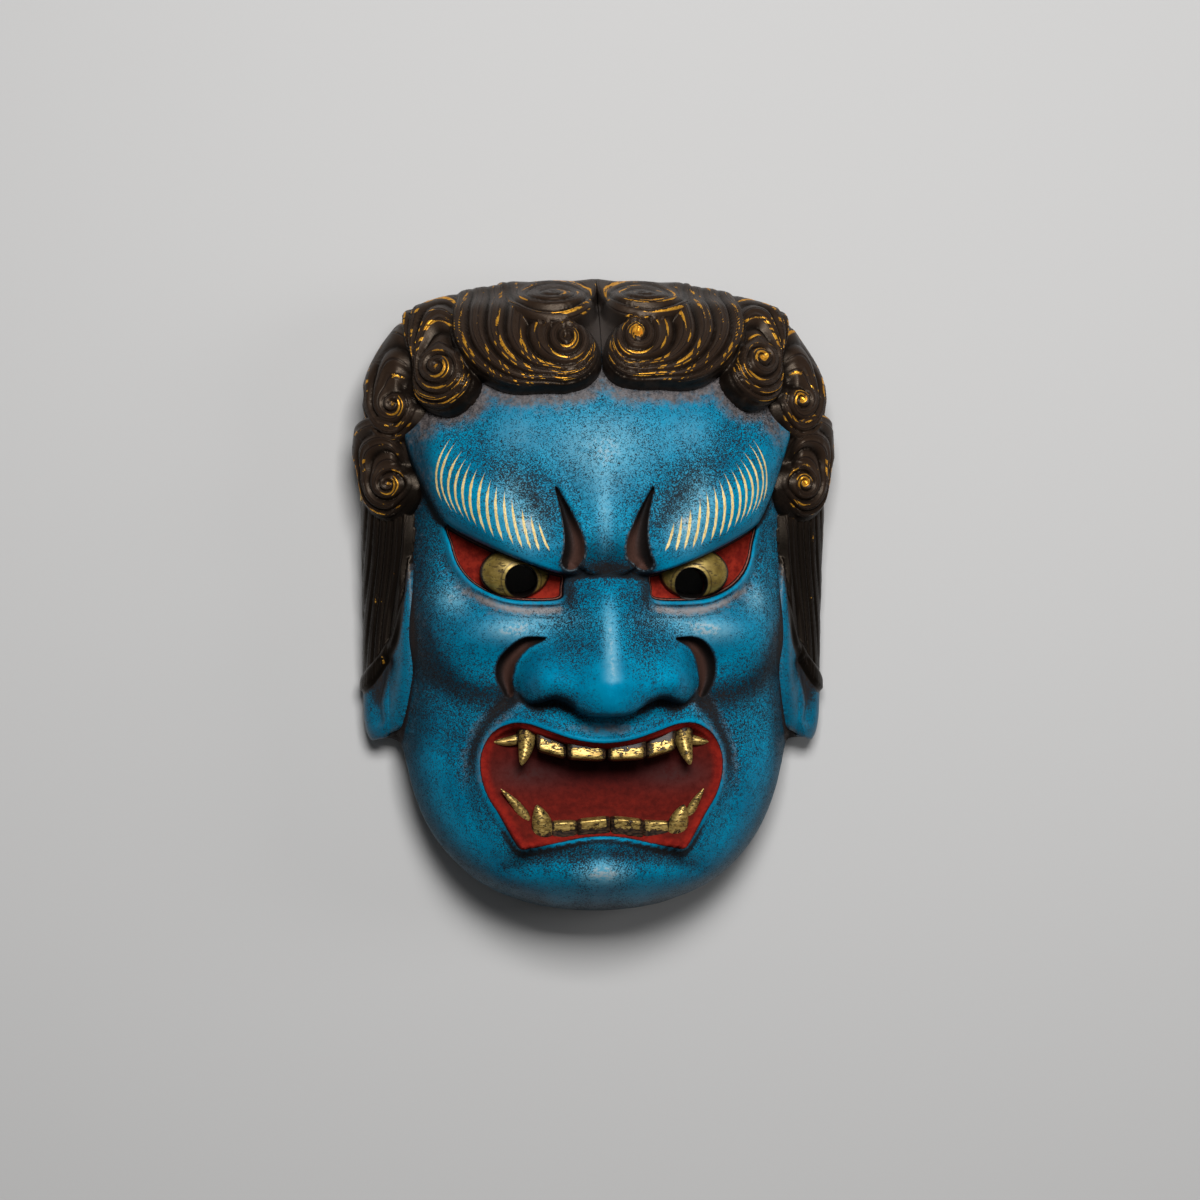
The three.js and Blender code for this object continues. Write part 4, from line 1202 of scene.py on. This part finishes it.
def finish(name, roughness=0.5, metallic=0.0):
    made = bpy.data.materials.new(name)
    made.use_nodes = True
    shader = made.node_tree.nodes["Principled BSDF"].inputs
    shader["Roughness"].default_value = roughness
    shader["Metallic"].default_value = metallic
    return made, made.node_tree, shader


def relief(shader, height, depth):
    feed(shader["Normal"], node(height.tree, "Bump", 0, {"Height": height, "Distance": depth}))


# %% [markdown]
# ### Stippled paint
#
# The dark flecks on the blue are short and worm-like, under a millimetre long. They are the contour lines of
# one noise, broken up by a second. More density widens the lines and leaves more of them.

# %% Fleck group
flecks, given, out = group("flecks", {"Density": 0.5, "Size": 1.0}, {"Mask": "Float", "Height": "Float"})
where = scaled(place(flecks), given["Size"])
density = given["Density"] + fray(where, 7, 3, 0.6, 1.1)
contour = maths("ABSOLUTE", cloud(where, 1.25, 2, 0.55, 0.6) - 0.5)
worm = maths("MULTIPLY", density, 0.056, clamp=True) - contour
broken = cloud(where, 0.9, 1, 0.5, 0.3) - (0.63 - density * 0.26)
mask = between(worm, -0.008, 0.012) * between(broken, -0.02, 0.05)
feed(out["Mask"], mask)
feed(out["Height"], mask * -1)

# %% [markdown]
# The blue paint is laid in this order: two blues, painted shade, white mist with painted highlights, grey
# dust along the hair, flecks, and soot with painted shade on top.

# %% Blue paint group
blue, given, out = group(
    "blue paint", {"Speckle": 0.5, "Mist_and_highlight": 0.0, "Patina": 0.0, "Soot_and_shade": 0.0, "Shade": 0.0},
    {"Color": "Color", "Roughness": "Float", "Height": "Float"})
where = place(blue)
fine = cloud(where, 0.55, 2, 0.7)
colour = tones(cloud(where, 16, 3, 0.6), 0.35, 0.65, (0, 0.145, 0.26), (0, 0.205, 0.35))
colour = over(colour, (0, 0.30, 0.48), between(fine, 0.52, 0.8, 0, 0.45))
# Painted shade: a deep blue where the form would be in shade.
colour = over(colour, (0, 0.024, 0.044), given["Shade"] * 0.9)
# White mist, and painted highlights on the high places, broken up by a cloud.
mist_and_highlight_cloud = between(cloud(where, 1.6, 4, 0.7), 0.3, 0.6, 0.5, 1.0)
mist_and_highlight_share = maths("MULTIPLY", given["Mist_and_highlight"], mist_and_highlight_cloud, clamp=True)
colour = over(colour, (0.17, 0.39, 0.49), mist_and_highlight_share * 0.8)
colour = over(colour, (0.33, 0.37, 0.38), between(mist_and_highlight_share, 0.7, 1.0, 0, 0.7))
dust = between(given["Patina"] + fray(where, 3, 5, 0.75, 1.6), 0.15, 0.95)
dust = dust * between(given["Patina"], 0.02, 0.2)
grey = tones(cloud(where, 1.6, 3, 0.7), 0.3, 0.7, (0.05, 0.038, 0.034), (0.135, 0.108, 0.099))
# The grey dust is lighter where it takes a painted highlight.
grey = over(grey, (0.32, 0.30, 0.30), maths("MULTIPLY", given["Mist_and_highlight"], 0.9, clamp=True))
colour = over(colour, grey, dust * 0.95)
density = given["Speckle"] + (given["Soot_and_shade"] - (dust + mist_and_highlight_share * 0.6)) * 0.6
fleck = use(blue, flecks, {"Density": density, "Size": 0.62})
colour = over(colour, (0.014, 0.010, 0.009), fleck["Mask"] * 0.92)
# Soot, with painted shade in the creases and under overhangs.
soot_and_shade_mask = between(given["Soot_and_shade"] + fray(where, 1.1, 3, 0.75, 0.8), 0.25, 0.95)
soot_and_shade_mask = soot_and_shade_mask * between(given["Soot_and_shade"], 0.02, 0.15)
feed(out["Color"], over(colour, (0.016, 0.012, 0.011), soot_and_shade_mask * 0.9))
feed(out["Roughness"], between(fleck["Mask"] + (soot_and_shade_mask + dust), 0, 1.2, 0.34, 0.6))
feed(out["Height"], fleck["Height"] + fine * 0.25)

# %% [markdown]
# ### Worn gold
#
# Gold was rubbed on the high edges of the hair and leafed over the teeth, and has worn away in short breaks.
# The group turns what stands high and a coverage into a broken mask.

# %% Worn gold group
gilding, given, out = group(
    "worn gold", {"Standing": 1.0, "Coverage": 0.5, "Break": 1.0}, {"Mask": "Float", "Color": "Color"})
where = place(gilding)
sized = scaled(where, given["Break"])
wear = cloud(sized, 4.5, 2, 0.5) * 0.6 + cloud(sized, 0.8, 3, 0.7) * 0.4
limit = 0.78 - given["Coverage"] * 0.56
feed(out["Mask"], between(wear - limit, -0.015, 0.02) * given["Standing"])
feed(out["Color"], tones(cloud(where, 1.4, 3, 0.6), 0.35, 0.65, (0.56, 0.24, 0.02), (0.88, 0.44, 0.045)))

# %% [markdown]
# ### The painted face
#
# From the bottom up: blue paint, brown grooves with a painted shadow on one side, the dark gap before the ears,
# red eyes and mouth with their dark outlines, a painted shadow under each brow, and the cream brow strokes
# last. The red inside the eyes and the mouth is dull and has no flecks.

# %% Blue, grooves and the gap before the ears
painted_face, tree, shader = finish("painted face")
shader["Specular IOR Level"].default_value = 0.06
shader["Specular Tint"].default_value = (0.35, 0.78, 1, 1)
paints = ("Speckle", "Mist_and_highlight", "Patina", "Soot_and_shade", "Shade")
base = use(tree, blue, {title: kept(tree, title.lower()) for title in paints})
where = place(tree)
ragged = fray(where, 0.9, 3, 0.7, 0.5)
brow = kept(tree, "brow_edge")
cut = kept(tree, "groove") + ragged * 0.3
# A pale rim along the grooves: partly rubbed paint, partly a painted highlight on the raised edge.
worn_and_lit_rim = between(cut, 0.98, 1.06) * between(cut, 1.26, 1.12) * between(brow, -1, 0.5)
colour = over(base["Color"], (0.30, 0.40, 0.44), worn_and_lit_rim * between(cloud(where, 1.5, 3), 0.45, 0.6, 0, 0.2))
# The lining attribute: brown on a groove's lit side, near-black on its other side for a painted shadow.
groove_brown_and_shadow = over((0.012, 0.009, 0.008), (0.066, 0.032, 0.024), kept(tree, "lining"))
colour = over(colour, groove_brown_and_shadow, between(cut, 1.05, 0.93))
colour = over(colour, (0.022, 0.013, 0.010), between(kept(tree, "ear_gap") + ragged, -0.5, 0.4))

# %% Red eyes and mouth
stain = cloud(where, 2.6, 4, 0.7)
eye = kept(tree, "eye_edge") + ragged
pale_line = between(eye, -0.2, -0.35) * between(eye, -0.62, -0.45)
lid_line = over((0.008, 0.006, 0.006), (0.30, 0.12, 0.09), pale_line)
colour = over(colour, lid_line, between(eye, 0.3, 0.15))
eye_red = tones(stain, 0.35, 0.65, (0.12, 0.008, 0.005), (0.23, 0.018, 0.009))
colour = over(colour, eye_red, between(eye, -0.8, -1.0))
lip = kept(tree, "mouth_edge") + ragged
lip_red = tones(stain, 0.3, 0.7, (0.12, 0.007, 0.005), (0.21, 0.013, 0.007))
deep_red = tones(stain, 0.25, 0.75, (0.06, 0.006, 0.004), (0.12, 0.010, 0.006))
# Greyish patches high on the mouth's floor: dust, and a painted sheen where the curved floor meets the light.
deep_red = over(deep_red, (0.055, 0.026, 0.024), kept(tree, "mouth_dust_and_sheen") * between(stain, 0.3, 0.6, 0.3, 1))
# The painted shadow of the upper teeth and lip on the top of the mouth's floor.
deep_red = over(deep_red, (0.010, 0.003, 0.003), kept(tree, "mouth_shadow"))
colour = over(colour, (0.02, 0.008, 0.008), between(lip, 0.3, 0.1))
colour = over(colour, over(lip_red, deep_red, between(lip, -1.6, -4.4)), between(lip, 0.0, -0.25))

# %% Brow strokes
# A dark band just under the brow's lower edge: the painted shadow of the overhanging brow.
colour = over(colour, (0.008, 0.010, 0.012), between(brow, 0.5, 0.1) * between(brow, -1.3, -0.6) * 0.8)
along = kept(tree, "stroke_share")
body = between(along, -0.05, 0.35) * between(along, 1.04, 0.85)
bristles = cloud(place(tree, (2.5, 0.3, 1)), 1.0, 3, 0.7)
width = body * between(bristles, 0.2, 0.7, 0.11, 0.19)
stroke = between(maths("PINGPONG", kept(tree, "stroke_count"), 0.5) - width, 0.03, -0.03)
stroke = stroke * between(bristles, 0.22, 0.36, 0.55, 1) * between(body, 0, 0.05)
cream = tones(bristles, 0.35, 0.65, (0.62, 0.42, 0.13), (0.76, 0.62, 0.31))
feed(shader["Base Color"], over(colour, cream, stroke))
INNER_ROUGHNESS = 0.9
outer = between(lip, 0.0, 0.3) * between(eye, 0.0, 0.3)
feed(shader["Roughness"], (base["Roughness"] - INNER_ROUGHNESS) * outer + INNER_ROUGHNESS)
relief(shader, base["Height"] * outer + stroke * 0.5, 0.00012)

# %% [markdown]
# ### Hair lacquer
#
# The hair is dark lacquer over brown, smooth to the touch, with gold on its high edges. A cosine and a sine
# keep the way across a strand, because an angle would tear where it starts again. The ear lobes are part of
# the same carving and carry the face's blue.

# %% Dark lacquer
lacquer, tree, shader = finish("lacquered hair")
shader["Specular IOR Level"].default_value = 0.23
shader["Specular Tint"].default_value = (1, 0.8, 0.62, 1)
where = place(tree)
strand, left, knob = (kept(tree, name) for name in ("strand", "gilt", "knob"))
raised = between(strand, 0.3, 0.6)
turn = maths("ARCTAN2", kept(tree, "wave_sin"), kept(tree, "wave_cos"))
across = maths("FRACT", turn * (0.5 / math.pi) + 1.0)
scratch = between(maths("PINGPONG", across * 3.0, 0.5), 0.13, 0.03) * raised
# Darker in the cuts between strands, lighter on their crests: painted shade in the cuts, a painted sheen on the
# crests.
dark = tones(strand, 0.15, 0.85, (0.004, 0.0025, 0.0018), (0.021, 0.012, 0.0075))
dark = over(dark, (0.028, 0.018, 0.013), between(cloud(where, 9, 4, 0.65), 0.45, 0.75) * 0.5)
dark = over(dark, (0.06, 0.05, 0.045), kept(tree, "parting") * 0.6)
dark = over(dark, (0.002, 0.0014, 0.001), kept(tree, "dim") * 0.9)
dark = over(dark, (0.006, 0.004, 0.004), scratch * 0.7)


# %% Gold on the strands, and the blue lobes
def streak(centre, half_width):
    """A line along each strand, at a share of the way across it."""
    return between(maths("ABSOLUTE", across - centre), half_width, half_width * 0.5)


rubbed = maths("MAXIMUM", streak(0.36, 0.12), streak(0.70, 0.05) * between(left, 0.5, 0.65))
standing = maths("MAXIMUM", rubbed * raised, between(knob, 0.3, 0.6))
gold = use(tree, gilding, {"Standing": standing, "Coverage": left + knob * 0.3, "Break": 1.0})
# The lobes take the face's blue, with painted shade in their groove and along their edge, and painted shade over
# all.
lobe = use(tree, blue, {"Speckle": 0.65, "Soot_and_shade": kept(tree, "lobe_soot_and_shade"), "Shade": 0.55})
on_lobe = between(kept(tree, "depth"), 0.08, -0.12)
fine = cloud(where, 0.5, 3, 0.7)
feed(shader["Base Color"], over(over(dark, gold["Color"], gold["Mask"]), lobe["Color"], on_lobe))
feed(shader["Metallic"], gold["Mask"] * maths("SUBTRACT", 0.7, on_lobe, clamp=True))
feed(shader["Roughness"], between(fine, 0.3, 0.7, 0.32, 0.46))
relief(shader, fine * 0.4 - scratch * 1.2 + gold["Mask"] * 0.3, 0.00015)

# %% [markdown]
# ### Gilt teeth and eyes, bare wood and brass
#
# The teeth are leafed over dark ground, and the leaf has cracked and worn at the roots and flanks. On the upper
# teeth the dark roots also stand for the lip's shadow, painted. The eyes are leafed too, with a dark ring round
# the sight hole. The hollow is bare wood with its grain along Y and the marks of a gouge. The eyelets are
# tarnished brass.

# %% Gilt teeth and eyes
gilt_teeth, tree, shader = finish("gilt teeth", roughness=0.4)
shader["Specular IOR Level"].default_value = 0.2
where = place(tree, (0.45, 1.5, 1))
left = between(kept(tree, "tip"), -0.1, 0.25, 0.1, 0.66) - between(kept(tree, "flank"), 0.8, 1.0, 0, 0.45)
gold = use(tree, gilding, {"Standing": 1.0, "Coverage": left, "Break": 0.5})
cracks = between(cloud(where, 0.9, 3, 0.65), 0.45, 0.40)
leaf = tones(cloud(where, 1.2, 3, 0.6), 0.3, 0.7, (0.19, 0.115, 0.028), (0.46, 0.325, 0.10))
# Dark ground where the gold is gone, which on the upper roots also stands for the lip's shadow.
dirt_and_shadow = tones(cloud(where, 0.8, 2), 0.4, 0.65, (0.006, 0.004, 0.003), (0.045, 0.024, 0.012))
shown = gold["Mask"] * (1 - cracks * 0.85)
feed(shader["Base Color"], over(dirt_and_shadow, leaf, shown))
feed(shader["Metallic"], shown * 0.6)
relief(shader, shown, 0.00025)

gilt_eye, tree, shader = finish("gilt eye", roughness=0.42, metallic=0.5)
pupil = kept(tree, "pupil")
streaks = between(cloud(place(tree, (0.35, 1.6, 1)), 1.5, 4, 0.7), 0.56, 0.62)
leaf = tones(cloud(place(tree), 3, 3, 0.6), 0.3, 0.7, (0.16, 0.105, 0.022), (0.29, 0.205, 0.047))
leaf = over(leaf, (0.03, 0.018, 0.010), streaks * 0.7)
leaf = over(leaf, (0.03, 0.018, 0.010), between(pupil, 1.9, 1.6) * between(pupil, 1.1, 1.4) * 0.6)
leaf = over(leaf, (0.016, 0.008, 0.006), between(kept(tree, "ring"), 1.0, 0.3))
feed(shader["Base Color"], over(leaf, (0.010, 0.007, 0.006), between(pupil, 0.45, 0.15)))
relief(shader, streaks * -1, 0.0001)

# %% Bare wood behind, and brass eyelets
bare_wood, tree, shader = finish("bare wood", roughness=0.6)
grain = cloud(place(tree, (1, 0.07, 1)), 1.6, 5, 0.65, 0.3)
rings = cloud(place(tree, (0.2, 0.02, 0.2)), 1.0, 2, 0.5, 0.5)
wood = tones(grain, 0.35, 0.7, (0.14, 0.075, 0.038), (0.30, 0.18, 0.10))
gouge = node(tree, "TexVoronoi", "Distance", {
    "Vector": place(tree, (1, 0.45, 1)), "Scale": 0.14}, feature="SMOOTH_F1")
feed(shader["Base Color"], over(wood, (0.09, 0.045, 0.024), between(rings, 0.5, 0.62) * 0.5))
relief(shader, gouge * 1.5 + grain * 0.3, 0.0004)

brass, tree, shader = finish("brass eyelet", metallic=1.0)
tarnish = cloud(place(tree), 1.1, 4, 0.7)
feed(shader["Base Color"], tones(tarnish, 0.45, 0.7, (0.62, 0.44, 0.17), (0.20, 0.12, 0.05)))
feed(shader["Roughness"], between(tarnish, 0.4, 0.7, 0.28, 0.6))
relief(shader, tarnish, 0.00005)

# %% [markdown]
# ## Put the finishes on
#
# Each new piece gets its finish and rides on the one body. The brass eyelets are the plain solid's own, with a
# better material.

# %% Finishes on the pieces
behind = at_back(face_piece.data)
face_piece.data.materials.append(painted_face)
face_piece.data.materials.append(bare_wood)
face_piece.data.polygons.foreach_set("material_index", behind.astype(np.int32))
for pair, material in (((hair_left, hair_right), lacquer), (teeth, gilt_teeth), (eyes, gilt_eye)):
    for obj in pair:
        obj.data.materials.append(material)
for name in ("cord_eyelet_left", "cord_eyelet_right"):
    for slot in bpy.data.objects[name].material_slots:
        slot.material = brass
for obj in (face_piece, hair_left, hair_right, *teeth, *eyes):
    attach(obj, "root")
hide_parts("mask")
print("pieces:", len(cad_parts), "solids in the frame,", round(time.time() - started, 1), "s")

# %% [markdown]
# ## The floor
#
# A plain pale floor, just under the flat rim.

# %% Floor
FLOOR_DROP = 0.0003
bm = bmesh.new()
bmesh.ops.create_grid(bm, x_segments=1, y_segments=1, size=3)
bmesh.ops.translate(bm, verts=bm.verts, vec=(0, 0, -FLOOR_DROP))
floor = piece("floor", bm, smooth=False)
floor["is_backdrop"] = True
pale, tree, shader = finish("pale floor", roughness=0.8)
shader["Base Color"].default_value = (0.46, 0.455, 0.45, 1)
floor.data.materials.append(pale)

# %% [markdown]
# ## The size
#
# The locks stand about a millimetre past the plain solid's box on each side. The box round everything
# shown is printed.

visual_box = [[float(v) for v in corner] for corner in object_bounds()]
print("total", round(time.time() - started, 1), "s", visual_box)
